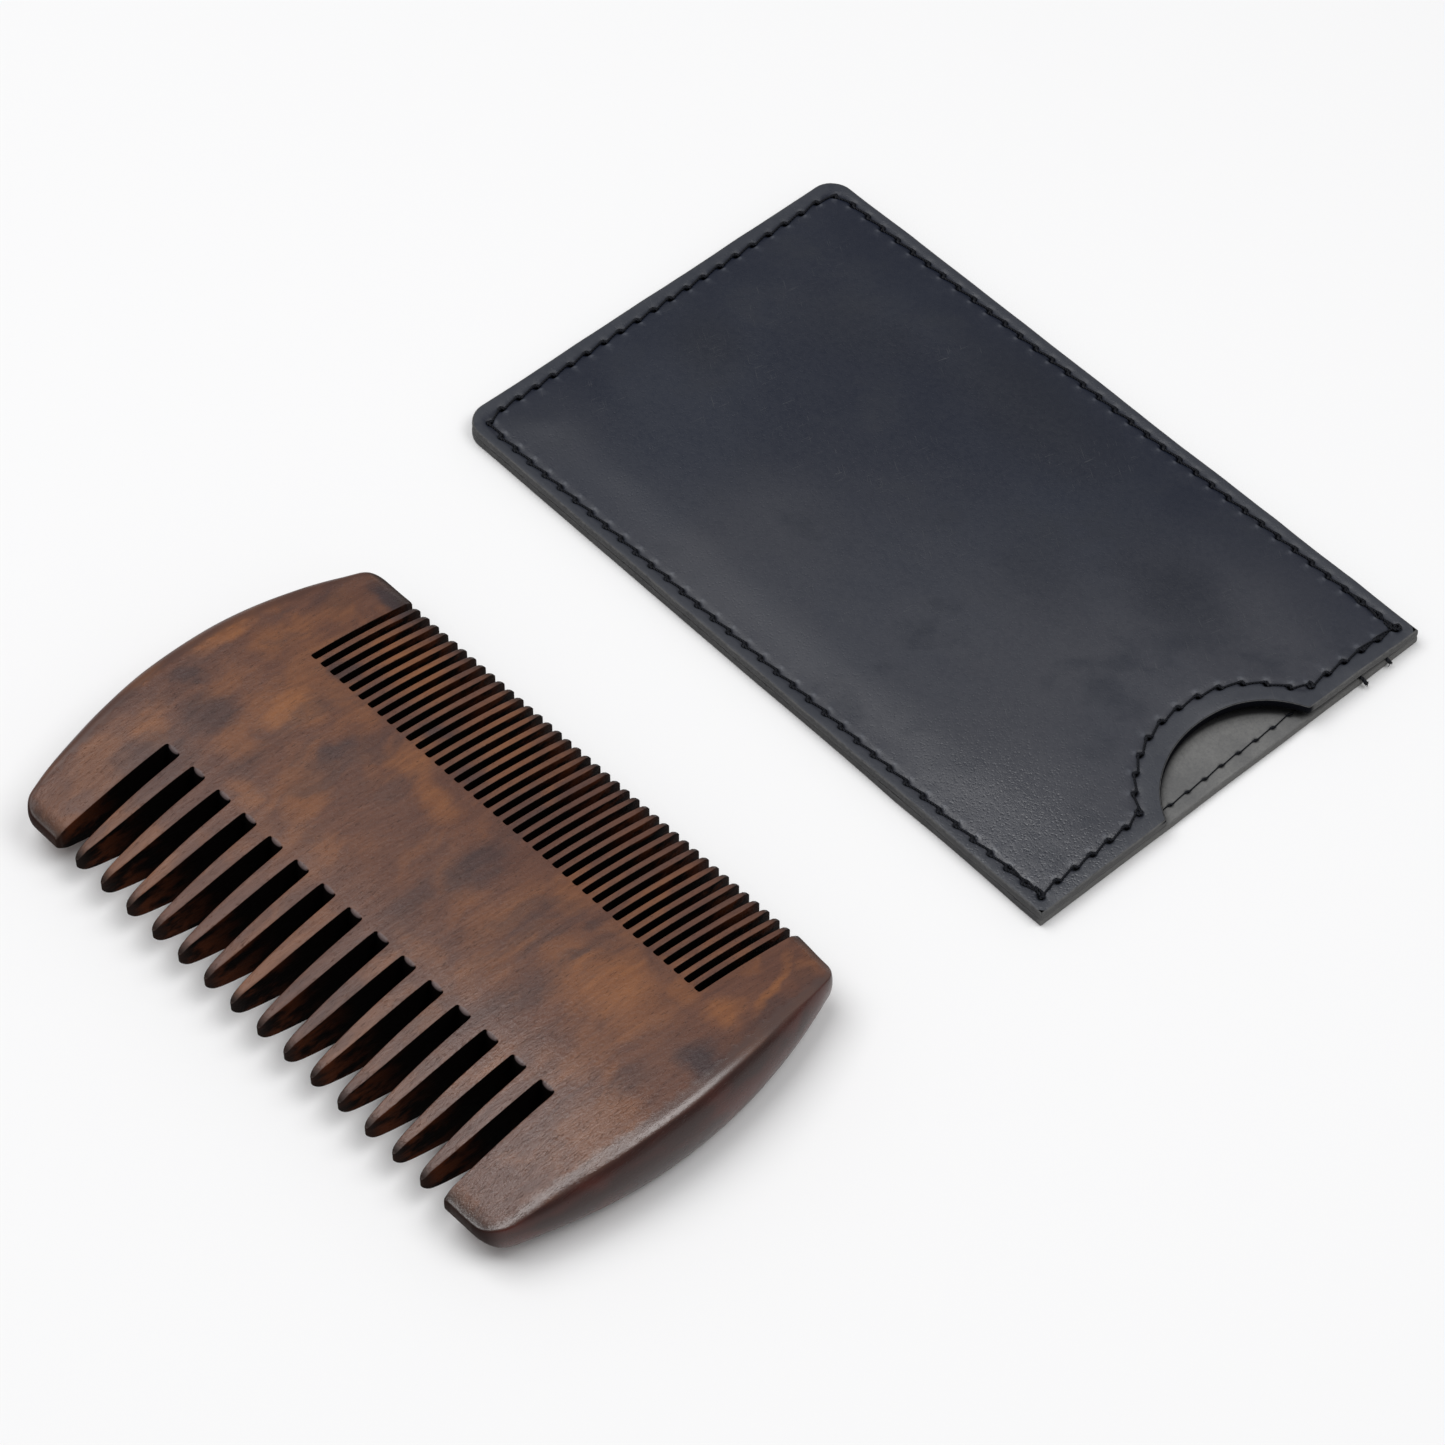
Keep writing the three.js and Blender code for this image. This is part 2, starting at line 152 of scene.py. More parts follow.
# ------------------------------------------------------------------------------------------------ a rounded slab
def slab(ring, radius, bow, fill, ztop, zbot, fillet=4, wall=4, clear=0.25, own=0.2):
    """A closed body between two height fields over a plan ring, with rounded arrises and bowed walls.
    Gives vertices in mm, faces, and each face's region: 0 top, 1 wall, 2 underside."""
    ring = np.asarray(ring, float)
    n = len(ring)
    e = np.roll(ring, -1, axis=0) - ring
    e /= np.linalg.norm(e, axis=1)[:, None]
    nrm = np.column_stack([e[:, 1], -e[:, 0]])
    prev = np.roll(nrm, 1, axis=0)
    m = (nrm + prev) / np.maximum(1 + (nrm * prev).sum(1), 0.6)[:, None]

    radius = np.broadcast_to(np.asarray(radius, float), (n,)).copy()
    bow = np.broadcast_to(np.asarray(bow, float), (n,)).copy()
    q = ring - m * (bow + radius)[:, None]
    zt, zb = ztop(q[:, 0], q[:, 1]), zbot(q[:, 0], q[:, 1])
    half, mid = (zt - zb) / 2, (zt + zb) / 2
    radius = np.minimum(radius, 0.88 * half)
    f0 = np.arctan(2 * bow / np.maximum(half - radius, 0.05))
    zw = half - radius * (1 - np.sin(f0))
    rows = []
    up = []
    for k in range(fillet + 1):
        f = f0 + (math.pi / 2 - f0) * k / fillet
        up.append((bow + radius * (np.cos(f0) - np.cos(f)), half - radius * (1 - np.sin(f))))
    for inset, h in reversed(up):
        rows.append((inset, -h))
    for k in range(1, wall):
        s = -1 + 2 * k / wall
        rows.append((bow * s * s, zw * s))
    for inset, h in up:
        rows.append((inset, h))

    verts = []
    for inset, h in rows:
        p = ring - m * inset[:, None]
        verts.append(np.column_stack([p, mid + h]))
    top_plan = verts[-1][:, :2]
    verts[-1][:, 2] = ztop(top_plan[:, 0], top_plan[:, 1])
    verts[0][:, 2] = zbot(top_plan[:, 0], top_plan[:, 1])
    verts = np.concatenate(verts)
    R = len(rows)

    faces, region = [], []
    i = np.arange(n); j = np.roll(i, -1)
    for r in range(R - 1):
        a, b = r * n, (r + 1) * n
        faces += np.column_stack([a + i, a + j, b + j, b + i]).tolist()
        region += [1] * n

    fill = np.asarray(fill, float).reshape(-1, 2)
    fill = fill[inside(fill, top_plan)]
    fill = thin(fill, top_plan, clear, own)
    coords = [Vector(p) for p in top_plan] + [Vector(p) for p in fill]
    out, _, tris, orig, _, _ = delaunay_2d_cdt(coords, [], [list(range(n))], 1, 1e-7)
    if len(out) != len(coords):
        print("slab: plan ring crosses itself or has doubled points:", len(out), len(coords))
    back = {}
    for k, o in enumerate(orig):
        back[k] = o[0] if o else None
    tri = [[back[v] for v in t] for t in tris if all(back[v] is not None for v in t)]
    tri = np.array(tri)
    P = np.array([c[:] for c in coords])
    area = ((P[tri[:, 1], 0] - P[tri[:, 0], 0]) * (P[tri[:, 2], 1] - P[tri[:, 0], 1])
            - (P[tri[:, 2], 0] - P[tri[:, 0], 0]) * (P[tri[:, 1], 1] - P[tri[:, 0], 1]))
    tri[area < 0] = tri[area < 0][:, ::-1]

    nf = len(fill)
    base_top, base_bot = len(verts), len(verts) + nf
    ztf, zbf = ztop(fill[:, 0], fill[:, 1]), zbot(fill[:, 0], fill[:, 1])
    verts = np.concatenate([verts, np.column_stack([fill, ztf]), np.column_stack([fill, zbf])])
    last = (R - 1) * n
    tmap = np.where(tri < n, last + tri, base_top + tri - n)
    bmap = np.where(tri < n, tri, base_bot + tri - n)[:, ::-1]
    faces += tmap.tolist(); region += [0] * len(tmap)
    faces += bmap.tolist(); region += [2] * len(bmap)
    return verts, faces, np.array(region)


def make(name, verts, faces, mats, region=None, attrs=None):
    """A smooth mesh object in metres."""
    me = bpy.data.meshes.new(name)
    me.from_pydata((np.asarray(verts) * MM).tolist(), [], faces)
    for m in mats:
        me.materials.append(m)
    me.polygons.foreach_set("use_smooth", np.ones(len(me.polygons), bool))
    if region is not None:
        me.polygons.foreach_set("material_index", np.asarray(region, np.int32))
    for key, values in (attrs or {}).items():
        at = me.attributes.new(key, "FLOAT", "POINT")
        at.data.foreach_set("value", np.asarray(values, np.float32))
    me.update()
    me.validate()
    ob = bpy.data.objects.new(name, me)
    bpy.context.scene.collection.objects.link(ob)
    return ob


def sweep(path, radius, sides=8, squash=1.0):
    """A closed tube along points in mm; radius may vary along it."""
    p = np.asarray(path, float)
    n = len(p)
    radius = np.broadcast_to(np.asarray(radius, float), (n,))
    t = np.gradient(p, axis=0)
    t /= np.linalg.norm(t, axis=1)[:, None]
    up = np.array([0, 0, 1.0])
    side = np.cross(t, up)
    side /= np.maximum(np.linalg.norm(side, axis=1), 1e-9)[:, None]
    top = np.cross(side, t)
    a = np.linspace(0, 2 * np.pi, sides, endpoint=False)
    v = (p[:, None] + radius[:, None, None] * (np.cos(a)[None, :, None] * side[:, None] + squash * np.sin(a)[None, :, None] * top[:, None])).reshape(-1, 3)
    faces = []
    for k in range(n - 1):
        for s in range(sides):
            b, c = k * sides + s, k * sides + (s + 1) % sides
            faces.append([b, c, c + sides, b + sides])
    faces.append(list(range(sides))[::-1])
    faces.append([(n - 1) * sides + s for s in range(sides)])
    # the ring runs against the path's right-hand sense, so the faces are turned to look out
    faces = [f[::-1] for f in faces]
    return v, faces


def join(parts):
    verts, faces, base = [], [], 0
    for v, f in parts:
        verts.append(v)
        faces += [[i + base for i in q] for q in f]
        base += len(v)
    return np.concatenate(verts), faces


# ------------------------------------------------------------------------------------------------ node helper
class Nodes:
    def __init__(self, name):
        self.mat = bpy.data.materials.new(name)
        self.mat.use_nodes = True
        self.t = self.mat.node_tree
        self.t.nodes.clear()
        self.out = self.t.nodes.new("ShaderNodeOutputMaterial")
        self.bsdf = self.t.nodes.new("ShaderNodeBsdfPrincipled")
        self.t.links.new(self.bsdf.outputs[0], self.out.inputs["Surface"])
        co = self.t.nodes.new("ShaderNodeTexCoord")
        self.p = self.vec("SCALE", co.outputs["Object"], scale=1000.0)       # millimetres in the part's frame

    def put(self, socket, value):
        if isinstance(value, bpy.types.NodeSocket):
            self.t.links.new(value, socket)
        elif value is not None:
            socket.default_value = value

    def set(self, **kw):
        for k, v in kw.items():
            self.put(self.bsdf.inputs[k.replace("_", " ")], v)

    def vec(self, op, a, b=None, scale=None):
        n = self.t.nodes.new("ShaderNodeVectorMath"); n.operation = op
        self.put(n.inputs[0], a)
        if b is not None:
            self.put(n.inputs[1], b)
        if scale is not None:
            self.put(n.inputs["Scale"], scale)
        return n.outputs["Value"] if op in ("DOT_PRODUCT", "LENGTH", "DISTANCE") else n.outputs["Vector"]

    def math(self, op, a, b=None, c=None, clamp=False):
        n = self.t.nodes.new("ShaderNodeMath"); n.operation = op; n.use_clamp = clamp
        for k, v in enumerate((a, b, c)):
            if v is not None:
                self.put(n.inputs[k], v)
        return n.outputs[0]

    def range(self, v, a, b, c=0.0, d=1.0, kind="SMOOTHSTEP"):
        n = self.t.nodes.new("ShaderNodeMapRange"); n.interpolation_type = kind
        for k, x in zip(("Value", "From Min", "From Max", "To Min", "To Max"), (v, a, b, c, d)):
            self.put(n.inputs[k], x)
        return n.outputs[0]

    def noise(self, v, scale=1.0, detail=3.0, rough=0.55, distort=0.0, colour=False):
        n = self.t.nodes.new("ShaderNodeTexNoise")
        self.put(n.inputs["Vector"], v)
        for k, x in (("Scale", scale), ("Detail", detail), ("Roughness", rough), ("Distortion", distort)):
            self.put(n.inputs[k], x)
        return n.outputs["Color"] if colour else n.outputs["Fac"]

    def voronoi(self, v, scale=1.0, feature="F1", rand=1.0, out="Distance"):
        n = self.t.nodes.new("ShaderNodeTexVoronoi"); n.feature = feature
        self.put(n.inputs["Vector"], v)
        n.inputs["Scale"].default_value = scale
        n.inputs["Randomness"].default_value = rand
        return n.outputs[out]

    def stretch(self, v, sx, sy, sz, turn=0.0):
        if turn:
            r = self.t.nodes.new("ShaderNodeVectorRotate"); r.rotation_type = "Z_AXIS"
            self.put(r.inputs["Vector"], v)
            r.inputs["Angle"].default_value = turn
            v = r.outputs[0]
        return self.vec("MULTIPLY", v, (sx, sy, sz))

    def mix(self, fac, a, b, blend="MIX"):
        n = self.t.nodes.new("ShaderNodeMix"); n.data_type = "RGBA"; n.blend_type = blend; n.clamp_factor = True
        self.put(n.inputs[0], fac)
        self.put(n.inputs[6], a if isinstance(a, bpy.types.NodeSocket) else (*a, 1.0))
        self.put(n.inputs[7], b if isinstance(b, bpy.types.NodeSocket) else (*b, 1.0))
        return n.outputs[2]

    def attr(self, name):
        n = self.t.nodes.new("ShaderNodeAttribute"); n.attribute_name = name
        return n.outputs["Fac"]

    def xyz(self, v):
        n = self.t.nodes.new("ShaderNodeSeparateXYZ")
        self.put(n.inputs[0], v)
        return n.outputs

    def bump(self, height, strength=1.0, distance=0.0001, normal=None):
        n = self.t.nodes.new("ShaderNodeBump")
        n.inputs["Strength"].default_value = strength
        n.inputs["Distance"].default_value = distance
        self.put(n.inputs["Height"], height)
        if normal is not None:
            self.put(n.inputs["Normal"], normal)
        return n.outputs[0]


# ------------------------------------------------------------------------------------------------ materials
def wood():
    g = Nodes("comb_wood")
    p = g.p
    # slow wandering of the figure, then a smaller ripple
    w = g.vec("SUBTRACT", g.noise(g.stretch(p, 0.09, 0.06, 0.06), 1.0, 2.0, 0.5, colour=True), (0.5, 0.5, 0.5))
    w2 = g.vec("SUBTRACT", g.noise(g.stretch(p, 0.26, 0.16, 0.3), 1.0, 3.0, 0.5, colour=True), (0.5, 0.5, 0.5))
    near = g.vec("ADD", p, g.vec("SCALE", w2, scale=4.5))
    q = g.vec("ADD", near, g.vec("SCALE", w, scale=8.0))
    line = g.vec("ADD", p, g.vec("SCALE", w, scale=3.0))

    # broad clouds of darker heartwood, drawn out along the teeth
    cloud = g.noise(g.stretch(q, 0.15, 0.055, 0.06, 0.12), 1.0, 4.0, 0.58)
    streak = g.noise(g.stretch(q, 0.50, 0.06, 0.2, 0.05), 1.0, 4.0, 0.6)
    tone = g.math("ADD", g.math("MULTIPLY", cloud, 0.6), g.math("MULTIPLY", streak, 0.4))
    dark = g.range(tone, 0.49, 0.66)
    warm = g.range(g.noise(g.stretch(q, 0.14, 0.08, 0.1, -0.3), 1.0, 3.0, 0.55), 0.47, 0.66)

    # the figure of this blank: dark knots and warm patches, each a soft ellipse (x, y, half widths, turn, weight); the
    # dark one at (-33.0, 22.8) darkens the top-left corner's edge
    knots = [
        (-18.7, 3.4, 1.7, 5.6, 0.12, 0.62), (-33.4, -4.4, 3.3, 4.4, 0.35, 0.62), (-39.2, -2.6, 1.9, 2.4, 0.5, 0.62),
        (3.7, 3.6, 2.6, 6.0, -0.15, 0.62), (2.6, -5.0, 1.8, 5.0, -0.05, 0.45), (20.3, 4.6, 0.8, 3.2, 0.05, 0.62),
        (18.6, 8.2, 0.8, 1.8, 0.2, 0.45), (40.2, 4.0, 3.2, 3.0, 0.0, 0.85), (-33.0, 22.8, 5.0, 1.9, 0.0, 0.9),
        (-28.0, 11.8, 3.0, 2.0, 0.0, 0.75), (-13.6, 13.8, 2.0, 2.8, 0.0, 0.7), (-6.0, 12.4, 2.2, 1.6, 0.0, 0.45),
        (41.0, 12.5, 2.0, 8.0, -0.12, 0.5), (40.0, 21.5, 4.0, 2.2, -0.3, 0.55), (37.0, -3.5, 2.2, 3.2, 0.2, 0.35),
        (-24.5, -5.5, 2.0, 3.0, 0.3, 0.35), (-38.0, 18.0, 2.4, 3.5, -0.5, 0.4), (27.0, 9.2, 2.6, 1.1, 0.2, 0.3),
        (-42.0, -12.0, 1.5, 4.0, 0.2, 0.35),
    ]
    lights = [
        (-27.2, 3.6, 4.4, 5.2, 0.2, 0.95), (-12.0, 7.8, 3.4, 2.6, -0.2, 0.75), (-6.4, 6.4, 5.2, 2.4, 0.1, 0.7),
        (-41.2, 4.4, 1.9, 4.4, 0.1, 0.95), (-36.8, 8.0, 3.0, 3.0, 0.3, 0.6), (-36.4, -10.4, 3.2, 2.6, 0.2, 0.7),
        (-16.4, -4.2, 3.0, 4.2, -0.2, 0.65), (-21.4, -8.2, 3.0, 2.0, 0.2, 0.6), (25.9, 3.4, 9.0, 6.0, 0.05, 0.85),
        (11.4, 2.0, 2.6, 7.0, 0.0, 0.5), (15.2, -0.5, 1.0, 6.5, 0.05, 0.5), (37.6, 17.0, 0.8, 6.0, -0.42, 0.85),
        (36.8, 10.6, 2.8, 3.0, -0.2, 0.85), (30.0, -3.0, 4.0, 4.0, 0.1, 0.4), (-24.0, 18.0, 8.0, 5.0, 0.1, 0.8),
        (-8.0, 18.0, 7.0, 5.0, 0.1, 0.6), (-42.6, -6.5, 1.4, 4.0, 0.15, 0.7), (8.0, -8.0, 5.0, 1.6, 0.0, 0.35),
        (-38.0, -15.5, 2.6, 4.0, 0.2, 0.55), (31.5, 9.0, 3.0, 2.4, 0.3, 0.6),
    ]
    ragged = g.noise(g.stretch(p, 0.42, 0.24, 0.5), 1.0, 3.0, 0.55)

    def patches(items):
        total = None
        for x, y, a, b, turn, weight in items:
            d = g.vec("SUBTRACT", g.stretch(near, 1, 1, 0), (x, y, 0))
            d = g.stretch(d, 1 / a, 1 / b, 0, turn)
            f = g.range(g.math("ADD", g.vec("LENGTH", d), g.math("MULTIPLY", ragged, 0.8)), 0.65, 1.65, weight, 0.0)
            total = f if total is None else g.math("MAXIMUM", total, f)
        return total

    dark = g.math("MAXIMUM", g.math("MULTIPLY", dark, 0.50), patches(knots))
    light = g.math("MAXIMUM", g.math("MULTIPLY", warm, 0.50), patches(lights))

    base = g.mix(g.range(streak, 0.35, 0.65), (0.104, 0.044, 0.029), (0.132, 0.056, 0.034))
    col = g.mix(light, base, (0.238, 0.092, 0.034))
    col = g.mix(g.math("MULTIPLY", dark, 0.98), col, (0.033, 0.023, 0.027))

    # growth lines and pores along the teeth
    fibre = g.noise(g.stretch(line, 1.5, 0.07, 0.5, 0.03), 1.0, 4.0, 0.6)
    col = g.mix(g.range(fibre, 0.36, 0.64, 0.0, 0.50), col, g.mix(1.0, col, (0.62, 0.54, 0.52), "MULTIPLY"))
    hair = g.noise(g.stretch(p, 8.5, 1.1, 3.0, 0.02), 1.0, 2.0, 0.5)
    pore = g.range(hair, 0.63, 0.72)
    col = g.mix(g.math("MULTIPLY", pore, 0.35), col, (0.020, 0.010, 0.008))
    # painted shade: a darker, redder band along the bowed rims of the faces, where the rounding turns from the light
    col = g.mix(g.math("MULTIPLY", g.attr("rim"), 0.55), col, (0.052, 0.022, 0.016))

    # painted shade: the sawn slot walls, deep in shade, are coloured almost black, with a painted reddish glow where
    # they thin towards the tips
    geo = g.t.nodes.new("ShaderNodeNewGeometry")
    nz = g.math("ABSOLUTE", g.xyz(geo.outputs["Normal"])[2])
    wallm = g.range(nz, 0.84, 0.62)
    red = g.range(g.noise(g.stretch(p, 0.35, 0.22, 0.5), 1.0, 3.0, 0.6), 0.40, 0.62)
    wallcol = g.mix(g.math("MULTIPLY", red, g.attr("neartip")), (0.0022, 0.0012, 0.0010), (0.060, 0.016, 0.006))
    col = g.mix(g.math("MULTIPLY", g.attr("sawn"), wallm), col, wallcol)
    # painted shade: the walls of the bowed ends are coloured dark red, darker than the top that faces the light
    endwall = g.mix(g.range(g.noise(g.stretch(p, 0.12, 0.12, 0.3), 1.0, 2.0, 0.5), 0.35, 0.65), (0.022, 0.005, 0.003), (0.060, 0.010, 0.005))
    col = g.mix(g.math("MULTIPLY", g.attr("rim"), wallm), col, endwall)
    # painted shade: the rounded tips, whose faces turn down and away, are coloured near black
    col = g.mix(g.math("MULTIPLY", g.attr("tip"), 0.85), col, (0.012, 0.008, 0.007))
    # painted highlight: the sloping arris of each root hollow is coloured light violet-grey
    col = g.mix(g.math("MULTIPLY", g.math("MULTIPLY", g.attr("scoop"), g.range(nz, 0.35, 0.60)), 0.75), col, (0.120, 0.092, 0.092))
    g.set(Base_Color=col)

    rough = g.range(fibre, 0.25, 0.75, 0.36, 0.46)
    rough = g.math("ADD", rough, g.math("MULTIPLY", pore, 0.12))
    rough = g.math("ADD", rough, g.range(cloud, 0.3, 0.7, -0.03, 0.03))
    sawwall = g.math("MULTIPLY", g.math("MAXIMUM", g.attr("sawn"), g.attr("tip")), wallm)
    rough = g.math("ADD", rough, g.math("MULTIPLY", sawwall, 0.30))
    place = g.xyz(p)
    worn_rim = g.math("MULTIPLY", g.attr("rim"), g.range(place[0], -20.0, 20.0))
    ridge = g.math("MULTIPLY", worn_rim, g.math("SUBTRACT", 1.0, wallm))
    rough = g.math("SUBTRACT", rough, g.math("MULTIPLY", worn_rim, 0.13))
    polish = g.math("MULTIPLY", g.range(place[0], -6.0, 36.0), g.range(place[1], 3.0, -14.0))
    polish = g.math("MULTIPLY", polish, g.math("SUBTRACT", 1.0, g.math("MAXIMUM", sawwall, g.math("MULTIPLY", g.attr("rim"), wallm))))
    rough = g.math("SUBTRACT", rough, g.math("MULTIPLY", polish, 0.11))
    level = g.math("ADD", 0.5, g.math("MULTIPLY", g.math("MAXIMUM", polish, ridge), 0.50))
    g.set(Roughness=rough, Specular_IOR_Level=g.math("SUBTRACT", level, g.math("MULTIPLY", sawwall, 0.46)))
    g.set(Coat_Weight=g.math("MULTIPLY", ridge, 0.42))
    g.bsdf.inputs["Coat Roughness"].default_value = 0.27
    g.bsdf.inputs["IOR"].default_value = 1.46

    fine = g.noise(g.stretch(p, 3.4, 1.25, 3.0), 1.0, 3.0, 0.7)
    h = g.math("ADD", g.math("MULTIPLY", fibre, 0.3), g.math("MULTIPLY", fine, 1.0))
    h = g.math("SUBTRACT", h, g.math("MULTIPLY", pore, 0.4))
    h = g.math("MULTIPLY", h, g.math("ADD", 1.0, g.math("SUBTRACT", g.math("MULTIPLY", polish, 1.0), g.math("MULTIPLY", g.attr("rim"), 0.85))))
    g.set(Normal=g.bump(h, 0.9, 0.00011))
    return g.mat


def leather():
    """Grained outer face."""
    g = Nodes("sleeve_leather")
    p = g.p
    w = g.vec("SUBTRACT", g.noise(p, 0.9, 2.0, 0.5, colour=True), (0.5, 0.5, 0.5))
    q = g.vec("ADD", p, g.vec("SCALE", w, scale=0.5))
    cell = g.voronoi(q, 2.1)
    cell2 = g.voronoi(q, 4.6)
    crease = g.noise(q, 1.5, 5.0, 0.62, 0.4)
    broad = g.noise(g.stretch(p, 0.035, 0.045, 0.05, 0.6), 1.0, 3.0, 0.5)
    smudge = g.noise(g.stretch(p, 0.13, 0.09, 0.1, 0.9), 1.0, 4.0, 0.6)

    place = g.xyz(p)
    # painted shade: the face is coloured darker towards the sleeve's far side
    away = g.math("SUBTRACT", g.math("DIVIDE", g.math("SUBTRACT", place[1], 80.4), 30.0), g.math("DIVIDE", place[0], 45.0))
    side = g.range(g.math("ADD", away, g.math("MULTIPLY", g.math("SUBTRACT", broad, 0.5), 1.1)), -0.7, 0.55)
    col = g.mix(side, (0.0325, 0.0345, 0.0450), (0.0060, 0.0092, 0.0210))
    col = g.mix(g.range(broad, 0.45, 0.70, 0.0, 0.35), col, (0.021, 0.026, 0.040))
    col = g.mix(g.range(smudge, 0.52, 0.72, 0.0, 0.75), col, (0.011, 0.014, 0.024))
    # painted shade: soft dark patches where the panel's broad wrinkles turn from the light
    wrinkle_shade = None
    for x, y, a, b, turn, weight in ((-40.0, 80.0, 7.0, 5.0, 0.5, 0.75), (-6.0, 102.0, 17.0, 7.0, 0.1, 0.8), (27.0, 93.0, 10.0, 6.0, 0.2, 0.7),
                                     (-30.0, 96.0, 12.0, 6.0, -0.3, 0.5), (12.0, 84.0, 8.0, 5.0, 0.4, 0.35)):
        d = g.vec("SUBTRACT", g.stretch(q, 1, 1, 0), (x, y, 0))
        d = g.stretch(d, 1 / a, 1 / b, 0, turn)
        f = g.range(g.math("ADD", g.vec("LENGTH", d), g.math("MULTIPLY", smudge, 0.8)), 0.5, 1.8, weight, 0.0)
        wrinkle_shade = f if wrinkle_shade is None else g.math("MAXIMUM", wrinkle_shade, f)
    col = g.mix(wrinkle_shade, col, (0.0075, 0.0100, 0.0190))
    col = g.mix(g.math("MULTIPLY", g.attr("border"), 0.60), col, (0.036, 0.040, 0.050))
    col = g.mix(g.range(cell, 0.16, 0.02, 0.0, 0.25), col, (0.010, 0.011, 0.016))
    # painted shade: darker along the seam groove beside the thread
    col = g.mix(g.math("MULTIPLY", g.attr("seam"), 0.40), col, (0.006, 0.007, 0.012))
    # painted highlight: a light crescent on the leather at the inner side of each needle hole
    col = g.mix(g.math("MULTIPLY", g.attr("pucker"), 0.48), col, (0.114, 0.122, 0.144))
    # painted shade: the needle holes are coloured near black
    col = g.mix(g.math("MULTIPLY", g.attr("hole"), 0.97), col, (0.0012, 0.0014, 0.0022))
    # partly wear, partly painted highlight: the top arris is coloured lighter where it catches the light
    worn_and_lit = g.range(g.noise(p, 0.35, 4.0, 0.65), 0.36, 0.66)
    col = g.mix(g.math("MULTIPLY", g.attr("arris"), g.math("MULTIPLY", worn_and_lit, 0.55)), col, (0.095, 0.098, 0.105))
    # a few long hair scratches
    scr = g.noise(g.stretch(p, 0.35, 7.0, 1.0, 0.55), 1.0, 1.0, 0.4)
    scr2 = g.noise(g.stretch(p, 6.0, 0.30, 1.0, 0.25), 1.0, 1.0, 0.4)
    gate = g.range(g.noise(p, 0.08, 2.0, 0.5), 0.52, 0.62)
    scratch = g.math("MULTIPLY", g.math("MAXIMUM", g.range(scr, 0.70, 0.74), g.range(scr2, 0.72, 0.76)), gate)
    col = g.mix(g.math("MULTIPLY", scratch, 0.35), col, (0.07, 0.073, 0.08))
    g.set(Base_Color=col)

    rough = g.range(crease, 0.3, 0.7, 0.38, 0.52)
    rough = g.math("SUBTRACT", rough, g.math("MULTIPLY", g.attr("gloss"), 0.12))
    rough = g.math("ADD", rough, g.range(smudge, 0.3, 0.75, -0.03, 0.05))
    g.set(Roughness=rough, Specular_IOR_Level=g.math("SUBTRACT", g.math("ADD", 0.5, g.math("MULTIPLY", g.attr("gloss"), 0.4)), g.math("MULTIPLY", g.math("MAXIMUM", g.attr("hole"), g.math("MULTIPLY", g.attr("seam"), 0.4)), 0.45)))
    g.bsdf.inputs["IOR"].default_value = 1.46

    fine = g.noise(q, 5.5, 3.0, 0.6)
    h = g.math("ADD", g.math("MULTIPLY", g.range(cell, 0.0, 0.42), 0.55), g.math("MULTIPLY", g.range(cell2, 0.0, 0.4), 0.25))
    h = g.math("ADD", h, g.math("MULTIPLY", crease, 0.5))
    h = g.math("ADD", h, g.math("MULTIPLY", fine, 0.25))
    h = g.math("MULTIPLY", h, g.math("ADD", 0.45, g.math("MULTIPLY", g.attr("gloss"), 1.9)))
    h = g.math("SUBTRACT", h, g.math("MULTIPLY", scratch, 0.25))
    g.set(Normal=g.bump(h, 0.6, 0.00009))
    return g.mat


def backing():
    """Inner face of the panels: smooth, flat grey."""
    g = Nodes("sleeve_backing")
    p = g.p
    n1 = g.noise(p, 0.16, 4.0, 0.6)
    n2 = g.noise(p, 3.2, 4.0, 0.65)
    col = g.mix(g.range(n1, 0.35, 0.7), (0.105, 0.105, 0.105), (0.150, 0.149, 0.145))
    col = g.mix(g.range(n2, 0.35, 0.75, 0.0, 0.5), col, (0.082, 0.083, 0.086))
    # painted shade: darker along the seam groove
    col = g.mix(g.math("MULTIPLY", g.attr("seam"), 0.15), col, (0.050, 0.050, 0.052))
    # painted shade: the back panel's inner face turns near black inside the pocket, under the front panel's lip
    col = g.mix(g.attr("deep"), col, (0.0030, 0.0032, 0.0040))
    # painted shade: the needle holes are coloured near black
    col = g.mix(g.math("MULTIPLY", g.attr("hole"), 0.95), col, (0.003, 0.0035, 0.005))
    g.set(Base_Color=col, Roughness=g.range(n2, 0.3, 0.7, 0.62, 0.80))
    g.bsdf.inputs["Sheen Weight"].default_value = 0.15
    g.set(Normal=g.bump(g.math("ADD", n2, g.noise(p, 9.0, 2.0, 0.6)), 0.35, 0.00006))
    return g.mat


